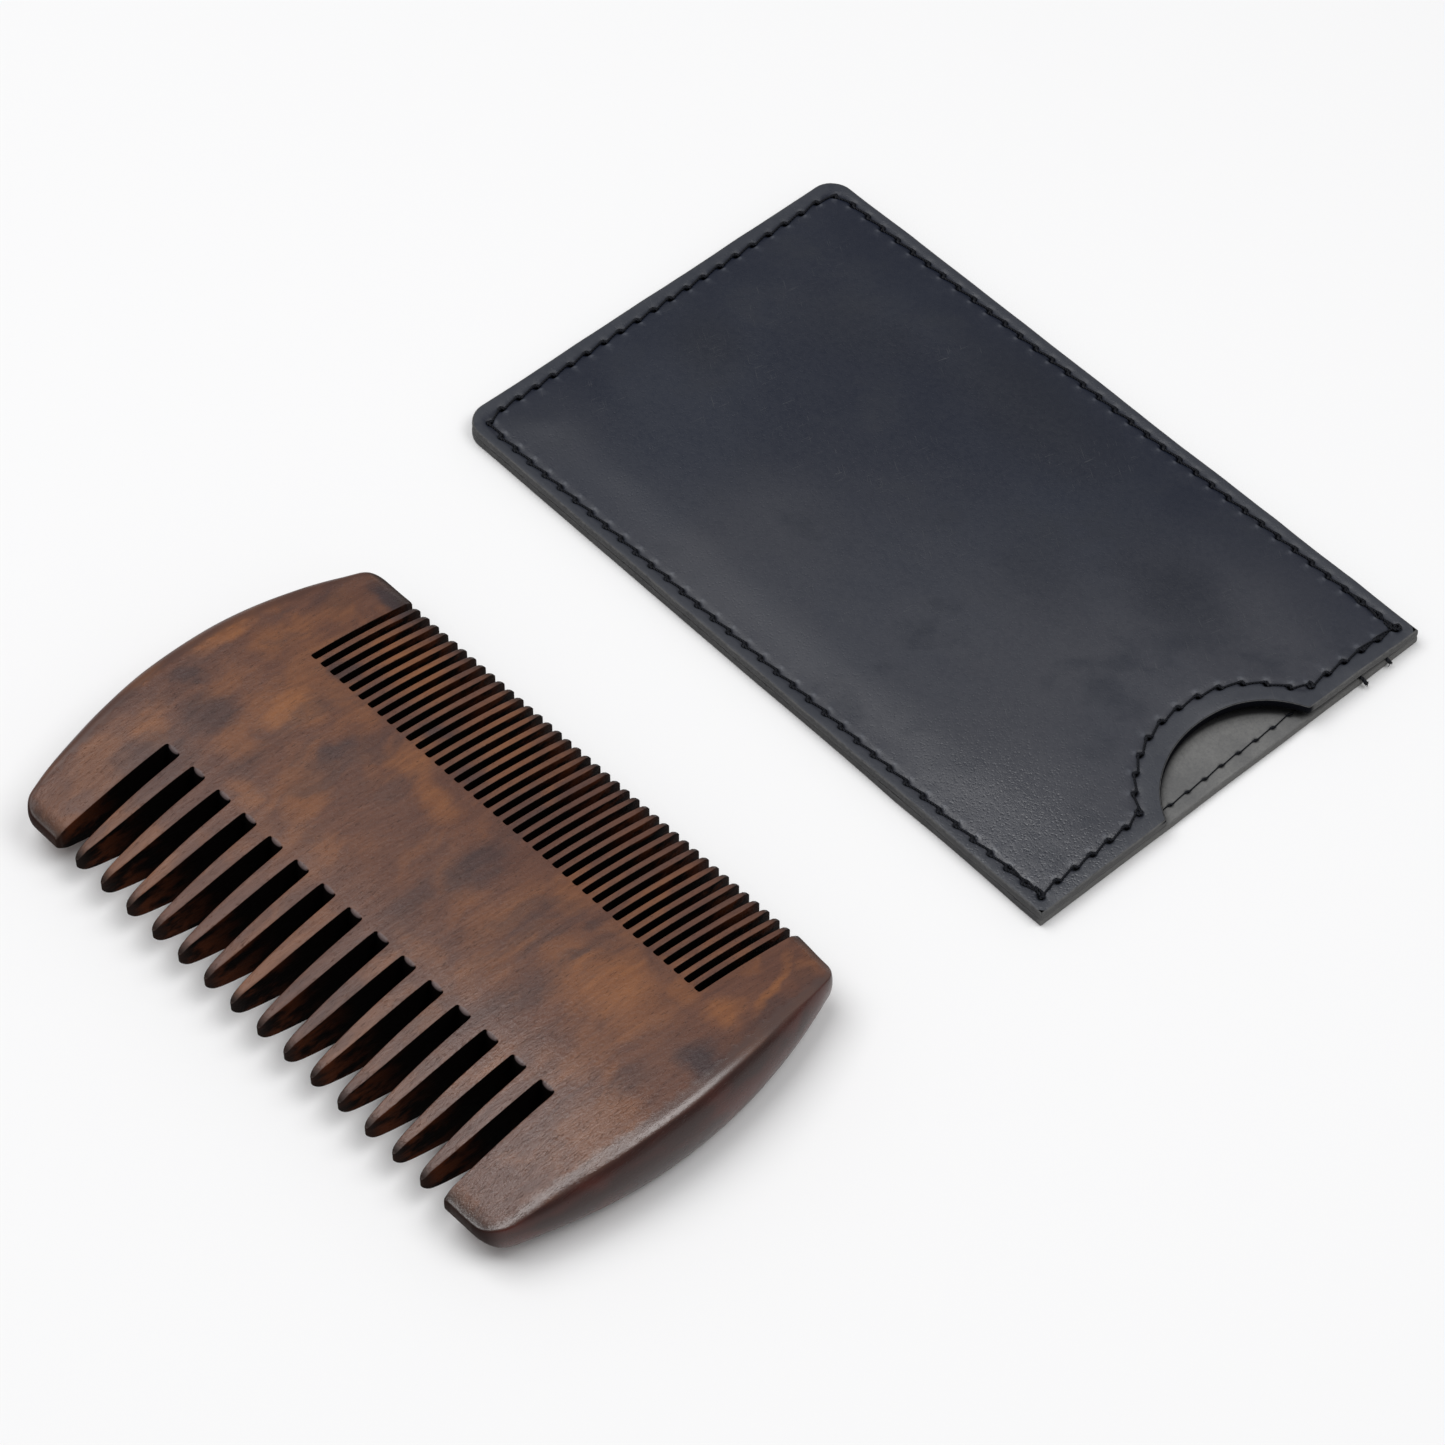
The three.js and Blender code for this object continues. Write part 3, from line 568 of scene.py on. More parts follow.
def cut_edge():
    """Cut edge of the leather: a dark fibrous core under a paler skin."""
    g = Nodes("sleeve_cut_edge")
    p = g.p
    n1 = g.noise(g.stretch(p, 1.6, 1.6, 7.0), 1.0, 5.0, 0.7)
    n2 = g.noise(p, 0.25, 3.0, 0.5)
    col = g.mix(g.range(n1, 0.3, 0.7), (0.014, 0.014, 0.016), (0.050, 0.050, 0.051))
    col = g.mix(g.range(n2, 0.4, 0.7, 0.0, 0.4), col, (0.062, 0.061, 0.060))
    col = g.mix(g.math("MULTIPLY", g.attr("pale"), 0.85), col, g.mix(g.range(n1, 0.3, 0.7), (0.085, 0.084, 0.081), (0.140, 0.138, 0.132)))
    # painted highlight: a light line along the top arris of the cut edge
    col = g.mix(g.math("MULTIPLY", g.attr("arris"), g.range(n1, 0.35, 0.6, 0.1, 0.55)), col, (0.120, 0.120, 0.122))
    # painted shade: the notch's cut wall, shaded under the lifted lip, is coloured near black
    col = g.mix(g.attr("notch_wall_shade"), col, (0.0022, 0.0026, 0.0045))
    g.set(Base_Color=col, Roughness=g.range(n1, 0.3, 0.7, 0.6, 0.85), Specular_IOR_Level=g.math("SUBTRACT", 0.5, g.math("MULTIPLY", g.attr("notch_wall_shade"), 0.45)))
    g.set(Normal=g.bump(n1, 0.7, 0.00012))
    return g.mat


def thread():
    """Black waxed thread with its ply twist."""
    g = Nodes("thread")
    p = g.p
    n1 = g.noise(p, 2.0, 3.0, 0.6)
    ply = g.math("SINE", g.math("MULTIPLY", g.math("ADD", g.attr("twist"), g.math("MULTIPLY", n1, 0.15)), 6.2832))
    col = g.mix(g.range(ply, -1.0, 1.0), (0.0012, 0.0016, 0.0030), (0.0070, 0.0085, 0.0140))
    col = g.mix(g.range(g.noise(p, 8.0, 2.0, 0.5), 0.5, 0.75, 0.0, 0.4), col, (0.016, 0.018, 0.026))
    g.set(Base_Color=col, Roughness=g.range(n1, 0.3, 0.7, 0.50, 0.66))
    g.bsdf.inputs["Specular IOR Level"].default_value = 0.22
    g.set(Normal=g.bump(ply, 0.8, 0.00008))
    return g.mat


WOOD, LEATHER, BACKING, EDGE, THREAD = wood(), leather(), backing(), cut_edge(), thread()


# ------------------------------------------------------------------------------------------------ comb
def tip_shift(x, y):
    """The hand-cut row of fine tips is not quite square to the comb: it rises to the left and falls off at the right."""
    x, y = np.asarray(x, float), np.asarray(y, float)
    fine = 0.15 - 0.0068 * x - 0.36 * smooth(x, 33.0, 38.5)
    return fine * smooth(y, 12.0, 24.5)


def half_thick(x, y):
    v = np.abs(y - tip_shift(x, y) - CENTRE_Y)
    a = np.maximum(v - SPINE_FLAT, 0) / (HALF_WID - SPINE_FLAT)
    h = MID_Z - (MID_Z - TIP_HALF) * np.power(a, TAPER_POWER)
    s = HALF_WID - v                                           # distance in from the tips
    broad = smooth(np.abs(x), 32.6, 34.6)
    deep = np.where(y < 0, 1.7, 1.1) + 0.3 * broad
    blunt = np.where(y < 0, 0.92, 0.88) - 0.06 * broad
    return h * np.sqrt(1 - blunt * np.clip(1 - s / deep, 0, 1) ** 2)


def comb_top(x, y):
    hand = 0.035 * wave_noise(x, y, 3, 26.0) + 0.012 * wave_noise(x, y, 4, 9.0)
    return MID_Z + half_thick(x, y) - np.abs(hand) * 0.8


def comb_bottom(x, y):
    lift = smooth(np.abs(y - CENTRE_Y), SPINE_FLAT - 1.0, SPINE_FLAT + 3.0)
    return MID_Z - half_thick(x, y) + lift * np.abs(0.03 * wave_noise(x, y, 7, 20.0))


def coarse_tooth(s):
    """Half width of a coarse tooth at distance s in from its tip."""
    s = np.asarray(s, float)
    body = np.interp(s, [1.0, 2.2, 3.6, 6.5, 10.5, 16.35], [0.52, 0.635, 0.745, 0.885, 1.00, 1.10])
    return np.where(s < 1.0, 0.52 * np.sqrt(np.clip(1 - (1 - s) ** 2, 0, 1)), body)


def fine_tooth(s):
    s = np.asarray(s, float)
    body = np.interp(s, [0.45, 1.4, 3.0, 15.0], [0.225, 0.33, 0.392, 0.394])
    return np.where(s < 0.45, 0.225 * np.sqrt(np.clip(1 - (1 - s / 0.45) ** 2, 0, 1)), body)


def comb_ring():
    """The comb's whole plan as one ring, counter-clockwise, with each point's arris radius, wall bow and masks."""
    P, R, B, SAW, RIM = [], [], [], [], []

    def add(points, r, b, saw, rim):
        points = np.asarray(points, float).reshape(-1, 2)
        n = len(points)
        for a, v in ((R, r), (B, b), (SAW, saw), (RIM, rim)):
            a.extend(np.broadcast_to(np.asarray(v, float), (n,)).tolist())
        P.extend(points.tolist())

    def end(sign):
        """One bowed end, from the coarse corner up on +X, or from the fine corner down on -X."""
        length, r1, r2 = RIGHT_END if sign > 0 else LEFT_END
        cx = length - END_R
        f1, f2 = HALF_WID - r1, HALF_WID - r2
        x1, x2 = cx + math.sqrt((END_R - r1) ** 2 - f1 ** 2), cx + math.sqrt((END_R - r2) ** 2 - f2 ** 2)
        a1, a2 = math.atan2(f1, x1 - cx), math.atan2(f2, x2 - cx)
        c1 = arc(x1, -f1, r1, -math.pi / 2, -a1, 10)
        mid = arc(cx, 0, END_R, -a1, a2, 84)[1:-1]
        c2 = arc(x2, f2, r2, a2, math.pi / 2, 10)
        pts = np.concatenate([c1, mid, c2])
        t = np.abs(pts[:, 1])
        k = 1 - smooth(t, 15.0, HALF_WID + 0.1)
        r = 0.34 + 1.85 * k ** 0.8
        bow = 0.10 + 1.35 * k
        pts = pts * sign
        if sign < 0:
            pts[:, 0] += 0.011 * pts[:, 1] + 0.55 * smooth(pts[:, 1], 15.0, 24.5) + 0.25 * smooth(-pts[:, 1], 20.0, 24.5)
        pts[:, 1] += CENTRE_Y
        return pts, r, bow

    right, r_r, b_r = end(1)
    left, r_l, b_l = end(-1)
    x_left, x_right = left[-1, 0], right[0, 0]
    # coarse side, left to right
    step = 0.55
    cursor = x_left
    for i in range(COARSE_GAPS):
        xc = COARSE_X + (i - (COARSE_GAPS - 1) / 2) * COARSE_PITCH
        if i == 0:
            lip = 0.36
            add(dense([(cursor + 0.5, COARSE_TIP), (xc - 1.27 - lip, COARSE_TIP)], 0.6), 0.34, 0.08, 0.0, 0.6)
            add(arc(xc - 1.27 - lip, COARSE_TIP + lip, lip, -math.pi / 2, 0, 4)[1:], 0.17, 0.02, 0.6, 0.2)
            yy = np.arange(COARSE_TIP + lip + step, COARSE_ROOT - 0.4, step)
            w = np.interp(yy, [COARSE_TIP, -20, COARSE_ROOT], [1.28, 1.20, 1.15])
            add(np.column_stack([xc - w, yy]), 0.18, 0.0, 1.0, 0.0)
        else:
            s = np.concatenate([[0.10, 0.26, 0.5, 0.85], np.arange(1.25, COARSE_ROOT - COARSE_TIP - 0.4, step)])
            w = COARSE_PITCH / 2 - coarse_tooth(s)
            add(np.column_stack([xc - w, COARSE_TIP + s]), np.interp(s, [0, 0.3, 1.2, 4, 9], [0.13, 0.18, 0.26, 0.24, 0.17]), 0.0, 1.0, 0.0)
        # root, with the hollow that the gullet file leaves in its top arris
        rw = 1.15
        add([(xc - rw, COARSE_ROOT - 0.16), (xc - rw + 0.10, COARSE_ROOT)], 0.12, 0.0, 1.0, 0.0)
        xs = np.linspace(-0.94, 0.94, 11)
        lens = np.sqrt(np.clip(1 - (xs / 1.0) ** 2, 0, 1))
        add(np.column_stack([xc + xs, COARSE_ROOT - 0.44 * (lens - 0.3)]), 0.12 + 0.52 * lens, 0.0, 1.0, 0.0)
        add([(xc + rw - 0.10, COARSE_ROOT), (xc + rw, COARSE_ROOT - 0.16)], 0.12, 0.0, 1.0, 0.0)
        if i == COARSE_GAPS - 1:
            lip = 0.36
            yy = np.arange(COARSE_TIP + lip + step, COARSE_ROOT - 0.4, step)[::-1]
            w = np.interp(yy, [COARSE_TIP, -20, COARSE_ROOT], [1.28, 1.20, 1.15])
            add(np.column_stack([xc + w, yy]), 0.18, 0.0, 1.0, 0.0)
            add(arc(xc + 1.27 + lip, COARSE_TIP + lip, lip, math.pi, 1.5 * math.pi, 4)[:-1], 0.17, 0.02, 0.6, 0.2)
            add(dense([(xc + 1.27 + lip, COARSE_TIP), (x_right - 0.5, COARSE_TIP)], 0.6), 0.34, 0.08, 0.0, 0.6)
        else:
            s = np.concatenate([[0.10, 0.26, 0.5, 0.85], np.arange(1.25, COARSE_ROOT - COARSE_TIP - 0.4, step)])[::-1]
            w = COARSE_PITCH / 2 - coarse_tooth(s)
            add(np.column_stack([xc + w, COARSE_TIP + s]), np.interp(s, [0, 0.3, 1.2, 4, 9], [0.13, 0.18, 0.26, 0.24, 0.17]), 0.0, 1.0, 0.0)
            add([(xc + COARSE_PITCH / 2, COARSE_TIP)], 0.12, 0.0, 1.0, 0.0)
    add(right, r_r, b_r, 0.0, 1.0)
    # fine side, right to left
    for i in range(FINE_GAPS - 1, -1, -1):
        xc = FINE_X + (i - (FINE_GAPS - 1) / 2) * FINE_PITCH
        if i == FINE_GAPS - 1:
            add(dense([(right[-1, 0] - 0.5, FINE_TIP), (xc + 0.43 + 0.3, FINE_TIP)], 0.6), 0.30, 0.08, 0.0, 0.6)
            add([(xc + 0.50, FINE_TIP - 0.09), (xc + 0.435, FINE_TIP - 0.3)], 0.2, 0.0, 0.8, 0.0)
            yy = np.arange(FINE_ROOT + 0.35, FINE_TIP - 0.8, 0.8)[::-1]
            add(np.column_stack([np.full(len(yy), xc + 0.43), yy]), 0.16, 0.0, 1.0, 0.0)
        else:
            s = np.concatenate([[0.06, 0.18, 0.4, 0.8], np.arange(1.4, FINE_TIP - FINE_ROOT - 0.3, 0.8)])
            w = FINE_PITCH / 2 - fine_tooth(s)
            add(np.column_stack([xc + w, FINE_TIP - s]), np.interp(s, [0, 0.4, 1.5], [0.06, 0.10, 0.15]), 0.0, 1.0, 0.0)
        add([(xc + 0.40, FINE_ROOT + 0.10), (xc + 0.30, FINE_ROOT), (xc, FINE_ROOT - 0.02), (xc - 0.30, FINE_ROOT), (xc - 0.40, FINE_ROOT + 0.10)], 0.16, 0.0, 1.0, 0.0)
        if i == 0:
            yy = np.arange(FINE_ROOT + 0.35, FINE_TIP - 0.8, 0.8)
            add(np.column_stack([np.full(len(yy), xc - 0.43), yy]), 0.16, 0.0, 1.0, 0.0)
            add([(xc - 0.435, FINE_TIP - 0.3), (xc - 0.50, FINE_TIP - 0.09)], 0.2, 0.0, 0.8, 0.0)
            add(dense([(xc - 0.43 - 0.3, FINE_TIP), (left[0, 0] + 0.5, FINE_TIP)], 0.6), 0.30, 0.08, 0.0, 0.6)
        else:
            s = np.concatenate([[0.06, 0.18, 0.4, 0.8], np.arange(1.4, FINE_TIP - FINE_ROOT - 0.3, 0.8)])[::-1]
            w = FINE_PITCH / 2 - fine_tooth(s)
            add(np.column_stack([xc - w, FINE_TIP - s]), np.interp(s, [0, 0.4, 1.5], [0.06, 0.10, 0.15]), 0.0, 1.0, 0.0)
            add([(xc - FINE_PITCH / 2, FINE_TIP)], 0.06, 0.0, 1.0, 0.0)
    add(left, r_l, b_l, 0.0, 1.0)
    P = np.array(P)
    P[:, 1] += tip_shift(P[:, 0], P[:, 1])
    return P, np.array(R), np.array(B), np.array(SAW), np.array(RIM)


def build_comb():
    ring, r, b, saw, rim = comb_ring()
    gx, gy = np.meshgrid(np.arange(-44, 44.1, 0.95), np.arange(COARSE_TIP, FINE_TIP, 0.95))
    gx = gx + 0.475 * (np.arange(gx.shape[0]) % 2)[:, None]
    grid = np.column_stack([gx.ravel(), gy.ravel()])
    spine = (grid[:, 1] > COARSE_ROOT + 1.1) & (grid[:, 1] < FINE_ROOT - 0.3)
    broad = np.abs(grid[:, 0]) > 33.0
    fill = [grid[spine | broad]]
    for i in range(COARSE_GAPS - 1):
        xc = COARSE_X + (i + 0.5 - (COARSE_GAPS - 1) / 2) * COARSE_PITCH
        y = np.arange(COARSE_TIP + 1.2, COARSE_ROOT + 1.0, 0.55)
        fill.append(np.column_stack([np.full(len(y), xc), y]))
        y = np.arange(COARSE_TIP + 4.0, COARSE_ROOT + 1.0, 0.55) + 0.27
        for dx in (-0.42, 0.42):
            fill.append(np.column_stack([np.full(len(y), xc + dx), y]))
    fill = np.concatenate(fill)
    fill[:, 1] += tip_shift(fill[:, 0], fill[:, 1])
    verts, faces, region = slab(ring, r, b, fill, comb_top, comb_bottom, fillet=4, wall=6, clear=0.20, own=0.22)
    n = len(ring)
    # masks: ring points repeat row by row, inner points take none
    total = len(verts)
    ring_rows = 2 * (4 + 1) + 6 - 1
    sawn = np.zeros(total); rimm = np.zeros(total)
    sawn[:ring_rows * n] = np.tile(saw, ring_rows)
    rimm[:ring_rows * n] = np.tile(rim, ring_rows)
    s = HALF_WID - np.abs(verts[:, 1] - CENTRE_Y)
    teeth = np.abs(verts[:, 0]) < 33.6
    # tip and neartip carry the painted shade on the rounded tips and the painted reddish glow on the slot walls near
    # them
    tip = np.where(teeth, 1 - smooth(s, 0.3, 2.1), (1 - smooth(s, 0.1, np.where(verts[:, 1] < 0, 2.0, 1.3))) * 0.95)
    near_tip = np.where(teeth, 1 - smooth(s, 2.0, 10.0), 1 - smooth(s, 2.0, 7.0))
    gx = np.abs((ring[:, 0] - COARSE_X + COARSE_PITCH / 2) / COARSE_PITCH % 1.0 - 0.5) * COARSE_PITCH
    root = (np.abs(ring[:, 1] - COARSE_ROOT + 0.1) < 0.45) * (np.abs(ring[:, 0] - COARSE_X) < 33.0) * (gx < 0.9)
    # scoop marks the root arrises that carry the painted highlight
    scoop = np.zeros(total)
    for row in range(ring_rows - 5, ring_rows - 1):
        scoop[row * n:(row + 1) * n] = root
    return make("comb_visual", verts, faces, [WOOD], attrs={"sawn": sawn, "rim": rimm, "tip": tip, "neartip": near_tip, "scoop": scoop})


comb = build_comb()
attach(comb, "comb")
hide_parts("comb_body")


# ------------------------------------------------------------------------------------------------ sleeve
TURN = np.array([[math.cos(SLEEVE_TURN), -math.sin(SLEEVE_TURN)], [math.sin(SLEEVE_TURN), math.cos(SLEEVE_TURN)]])


def to_row(verts):
    """Sleeve coordinates (u along it, v across) to the part's frame."""
    v = np.array(verts, float)
    v[:, :2] = v[:, :2] @ TURN.T + [SLEEVE_X, SLEEVE_Y]
    return v


def side_path():
    r = 2.0
    return np.concatenate([
        [[HALF_L - 2.0, SEAM_V]], arc(SEAM_U + r, SEAM_V - r, r, math.pi / 2, math.pi, 8),
        arc(SEAM_U + r, -SEAM_V + r, r, math.pi, 1.5 * math.pi, 8), [[HALF_L - 2.0, -SEAM_V]]])


def front_mouth_path():
    a = math.acos((MOUTH_U - NSEAM_U) / NSEAM_R)
    return np.concatenate([
        [[MOUTH_U + 0.3, 28.9]], arc(NSEAM_U, NSEAM_V, NSEAM_R, a, 2 * math.pi - a, 40), [[MOUTH_U + 0.3, -28.9]]])


def back_mouth_path():
    return np.array([[BACK_MOUTH_U, 28.0], [BACK_MOUTH_U, -28.0]])


def holes(path):
    p = np.asarray(path, float)
    total = np.linalg.norm(np.diff(p, axis=0), axis=1).sum()
    n = int(round(total / STITCH))
    q, nrm, _ = even(p, n)
    rng = np.random.RandomState(int(total * 10))
    q = q + nrm * rng.uniform(-0.05, 0.05, (len(q), 1))
    return q, nrm


SIDE_HOLES, SIDE_N = holes(side_path())
FRONT_HOLES, FRONT_N = holes(front_mouth_path())
BACK_HOLES, BACK_N = holes(back_mouth_path())


def line_points(path, step=0.3):
    p = np.asarray(path, float)
    total = np.linalg.norm(np.diff(p, axis=0), axis=1).sum()
    return even(p, int(total / step))


SIDE_LINE = line_points(side_path())[0]
FRONT_LINE = line_points(front_mouth_path())[0]
BACK_LINE = line_points(back_mouth_path())[0]


def rise(u, v):
    """How far the front panel stands off the back one."""
    d = np.minimum(SEAM_V - np.abs(v), u - SEAM_U)
    pillow = 0.62 * smooth(d, 0.3, 8.0) + 0.10 * smooth(d, 0.3, 5.0) * wave_noise(u, v, 11, 44.0)
    pillow = pillow + 0.05 * smooth(d, 0.5, 4.0) * wave_noise(u, v, 12, 17.0)
    lip = 0.08 + 0.10 * np.exp(-((v + 6.0) / 5.0) ** 2) + 1.18 * np.exp(-((v - 7.5) / 6.5) ** 2) + 0.50 * np.exp(-((v - 20.0) / 5.5) ** 2)
    lip = lip * smooth(SEAM_V - np.abs(v), 0.0, 3.0)
    g = pillow + (lip - pillow) * smooth(u, 30.0, 48.5) * smooth(SEAM_V - np.abs(v), 0.0, 3.0)
    outer = 0.05 * smooth(-d, 0.3, 1.5)
    return np.maximum(g, 0.0) + outer + 0.03


def pucker(pts, sets):
    """Leather pushed up on the inner side of every needle hole."""
    out = np.zeros(len(pts))
    for hs, inner in sets:
        d, _ = nearest(pts, hs + inner * 0.72)
        out = np.maximum(out, np.exp(-(d / 0.30) ** 2))
    return out


def seam_dip(pts, lines, hole_sets, groove=0.15, width=0.60, pit=0.48, pit_r=0.40):
    out = np.zeros(len(pts))
    for line in lines:
        d, _ = nearest(pts, line)
        out = np.maximum(out, groove * np.exp(-(d / width) ** 2))
    hole = np.zeros(len(pts))
    for hs in hole_sets:
        d, _ = nearest(pts, hs)
        hole = np.maximum(hole, np.exp(-(d / pit_r) ** 2))
    return out + pit * hole, hole


BACK_TOP = HIDE


def front_bottom(u, v):
    return BACK_TOP + rise(u, v)


def front_top(u, v):
    pts = np.column_stack([np.ravel(u), np.ravel(v)])
    dip, _ = seam_dip(pts, [SIDE_LINE, FRONT_LINE], [SIDE_HOLES, FRONT_HOLES])
    # a faint ripple over the face, and the leather swells on the inner side of each hole
    swell = 0.015 * wave_noise(pts[:, 0], pts[:, 1], 21, 5.5) + 0.10 * pucker(pts, [(SIDE_HOLES, SIDE_N), (FRONT_HOLES, -FRONT_N)])
    return front_bottom(u, v) + HIDE - dip.reshape(np.shape(u)) + swell.reshape(np.shape(u))


def back_top(u, v):
    pts = np.column_stack([np.ravel(u), np.ravel(v)])
    near_mouth = pts[:, 0] > 40
    out = np.full(len(pts), BACK_TOP)
    if near_mouth.any():
        dip, _ = seam_dip(pts[near_mouth], [BACK_LINE], [BACK_HOLES], groove=0.08, pit=0.25, pit_r=0.3)
        out[near_mouth] -= dip
    return out.reshape(np.shape(u))


def back_bottom(u, v):
    pts = np.column_stack([np.ravel(u), np.ravel(v)])
    out = np.zeros(len(pts))
    for line in (SIDE_LINE, BACK_LINE):
        d, _ = nearest(pts, line)
        out = np.maximum(out, 0.34 * np.exp(-(d / 0.42) ** 4))
    return out.reshape(np.shape(u))


def panel_ring(notched, wobble):
    c, r = 0.12, SLEEVE_R
    pts = [arc(HALF_L - c, -HALF_W + c, c, -math.pi / 2, 0, 3)]
    if notched:
        half = math.sqrt(NOTCH_R ** 2 - (NOTCH_U - HALF_L) ** 2)
        a = math.atan2(half, HALF_L - NOTCH_U)
        # rounded lips where the notch meets the mouth
        lo = np.array([HALF_L, NOTCH_V - half]); hi = np.array([HALF_L, NOTCH_V + half])
        cut = arc(NOTCH_U, NOTCH_V, NOTCH_R, 2 * math.pi - a - 0.025, a + 0.025, 52)
        pts.append(dense([[HALF_L, -HALF_W + c], [HALF_L, lo[1] - 0.3]], 0.6)[1:])
        for t in (0.25, 0.5, 0.75):
            p0, p1, p2 = np.array([HALF_L, lo[1] - 0.3]), lo, cut[0]
            pts.append([(1 - t) ** 2 * p0 + 2 * t * (1 - t) * p1 + t * t * p2])
        pts.append(cut)
        for t in (0.25, 0.5, 0.75):
            p0, p1, p2 = cut[-1], hi, np.array([HALF_L, hi[1] + 0.3])
            pts.append([(1 - t) ** 2 * p0 + 2 * t * (1 - t) * p1 + t * t * p2])
        pts.append(dense([[HALF_L, hi[1] + 0.3], [HALF_L, HALF_W - c]], 0.6)[:-1])
    else:
        pts.append(dense([[HALF_L, -HALF_W + c], [HALF_L, HALF_W - c]], 0.6)[1:-1])
    pts.append(arc(HALF_L - c, HALF_W - c, c, 0, math.pi / 2, 3))
    pts.append(dense([[HALF_L - c, HALF_W], [-HALF_L + r, HALF_W]], 0.7)[1:-1])
    pts.append(arc(-HALF_L + r, HALF_W - r, r, math.pi / 2, math.pi, 9))
    pts.append(dense([[-HALF_L, HALF_W - r], [-HALF_L, -HALF_W + r]], 0.7)[1:-1])
    pts.append(arc(-HALF_L + r, -HALF_W + r, r, math.pi, 1.5 * math.pi, 9))
    pts.append(dense([[-HALF_L + r, -HALF_W], [HALF_L - c, -HALF_W]], 0.7)[1:-1])
    ring = np.concatenate([np.asarray(p, float).reshape(-1, 2) for p in pts])
    keep = [0]
    for k in range(1, len(ring)):
        if np.hypot(*(ring[k] - ring[keep[-1]])) > 0.05:
            keep.append(k)
    ring = ring[keep]
    # hand-cut edges are never quite straight
    d = np.column_stack([wave_noise(ring[:, 0], ring[:, 1], wobble, 30.0), wave_noise(ring[:, 0], ring[:, 1], wobble + 1, 30.0)])
    return ring - 0.10 * np.abs(d) * np.sign(ring)


def seam_fill(lines, hole_sets):
    out = []
    for line, nrm in lines:
        for off in (0.0, 0.28, -0.28, 0.62, -0.62, 1.1, -1.1) if nrm.any() else (0.0,):
            out.append(line + nrm * off)
    for hs in hole_sets:
        first = [hs]
        for rad, n in ((0.18, 6), (0.36, 8), (0.55, 10), (0.8, 12)):
            a = np.linspace(0, 2 * np.pi, n, endpoint=False)
            first.append((hs[:, None] + rad * np.column_stack([np.cos(a), np.sin(a)])[None]).reshape(-1, 2))
        out = [np.concatenate(first)] + out
    return np.concatenate(out)


def panel_grid(step):
    gx, gy = np.meshgrid(np.arange(-HALF_L + 0.7, HALF_L, step), np.arange(-HALF_W + 0.7, HALF_W, step))
    gx = gx + step / 2 * (np.arange(gx.shape[0]) % 2)[:, None]
    return np.column_stack([gx.ravel(), gy.ravel()])


def every(path, step):
    q, n, _ = line_points(path, step)
    return q, n


def panel(name, ring, lines, hole_sets, ztop, zbot, mats, gloss):
    fill = np.concatenate([seam_fill(lines, hole_sets), panel_grid(1.25)])
    verts, faces, region = slab(ring, 0.20, 0.03, fill, ztop, zbot, fillet=3, wall=4, clear=0.16, own=0.13)
    plan = verts[:, :2]
    hole = np.zeros(len(verts))
    for hs in hole_sets:
        d, _ = nearest(plan, hs)
        hole = np.maximum(hole, np.exp(-(d / 0.38) ** 4))
    d = np.minimum(SEAM_V - np.abs(plan[:, 1]), plan[:, 0] - SEAM_U)
    border = smooth(-d, 0.1, 0.7)
    mouth = smooth(plan[:, 0], MOUTH_U - 0.1, MOUTH_U + 0.6) * (hole_sets[-1] is FRONT_HOLES)
    arcd = NSEAM_R - np.hypot(plan[:, 0] - NSEAM_U, plan[:, 1] - NSEAM_V)
    strip = smooth(arcd, 0.1, 0.7) * (hole_sets[-1] is FRONT_HOLES)
    border = np.clip(np.maximum(np.maximum(border, mouth), strip), 0, 1)
    n = len(ring)
    ring_rows = 2 * (3 + 1) + 4 - 1
    arris = np.zeros(len(verts))
    for row in range(ring_rows):
        k = min(row, ring_rows - 1 - row)
        arris[row * n:(row + 1) * n] = {0: 0.35, 1: 1.0, 2: 0.9, 3: 0.35}.get(k, 0.0)
    seam = np.zeros(len(verts))
    for line, _ in lines[:2]:
        dl, _ = nearest(plan, line)
        seam = np.maximum(seam, np.exp(-(dl / 0.36) ** 2))
    fronted = hole_sets[-1] is FRONT_HOLES
    wall = np.zeros(len(verts)); wall[:ring_rows * n] = 1
    to_arc = np.abs(np.hypot(plan[:, 0] - NOTCH_U, plan[:, 1] - NOTCH_V) - NOTCH_R)
    # painted shade mask: the front panel's cut wall along the notch arc, below its top arris
    notch_wall_shade = wall * (1 - smooth(to_arc, 0.4, 0.9)) * (plan[:, 0] < HALF_L - 0.05) * fronted * (arris < 0.95)
    pale = wall * smooth(plan[:, 0], HALF_L - 0.9, HALF_L - 0.3) * (0.35 if fronted else 1.0)
    gl = np.exp(-(((plan[:, 0] - 43) / 15) ** 2 + ((plan[:, 1] + 24) / 9) ** 2)) * gloss * 1.25
    lit = pucker(plan, [(hole_sets[0], SIDE_N), (hole_sets[1], -FRONT_N if fronted else -BACK_N)])
    from_arc = np.hypot(plan[:, 0] - NOTCH_U, plan[:, 1] - NOTCH_V) - NOTCH_R
    # painted shade mask for the back panel inside the pocket under the front panel's lip
    deep = np.minimum(smooth(from_arc, -0.45, 0.15), 1 - smooth(plan[:, 0], HALF_L - 1.2, HALF_L - 0.3)) * (0.0 if fronted else 1.0)
    attrs = {"deep": deep, "pucker": lit, "hole": hole, "border": border, "arris": arris, "gloss": gl, "seam": seam, "notch_wall_shade": notch_wall_shade, "pale": pale}
    return make(name, to_row(verts), faces, mats, region, attrs)


front = panel("sleeve_front_visual", panel_ring(True, 31), [every(side_path(), 0.55), every(front_mouth_path(), 0.55)],
              [SIDE_HOLES, FRONT_HOLES], front_top, front_bottom, [LEATHER, EDGE, BACKING], 1.0)
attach(front, "sleeve"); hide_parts("sleeve_front_panel")

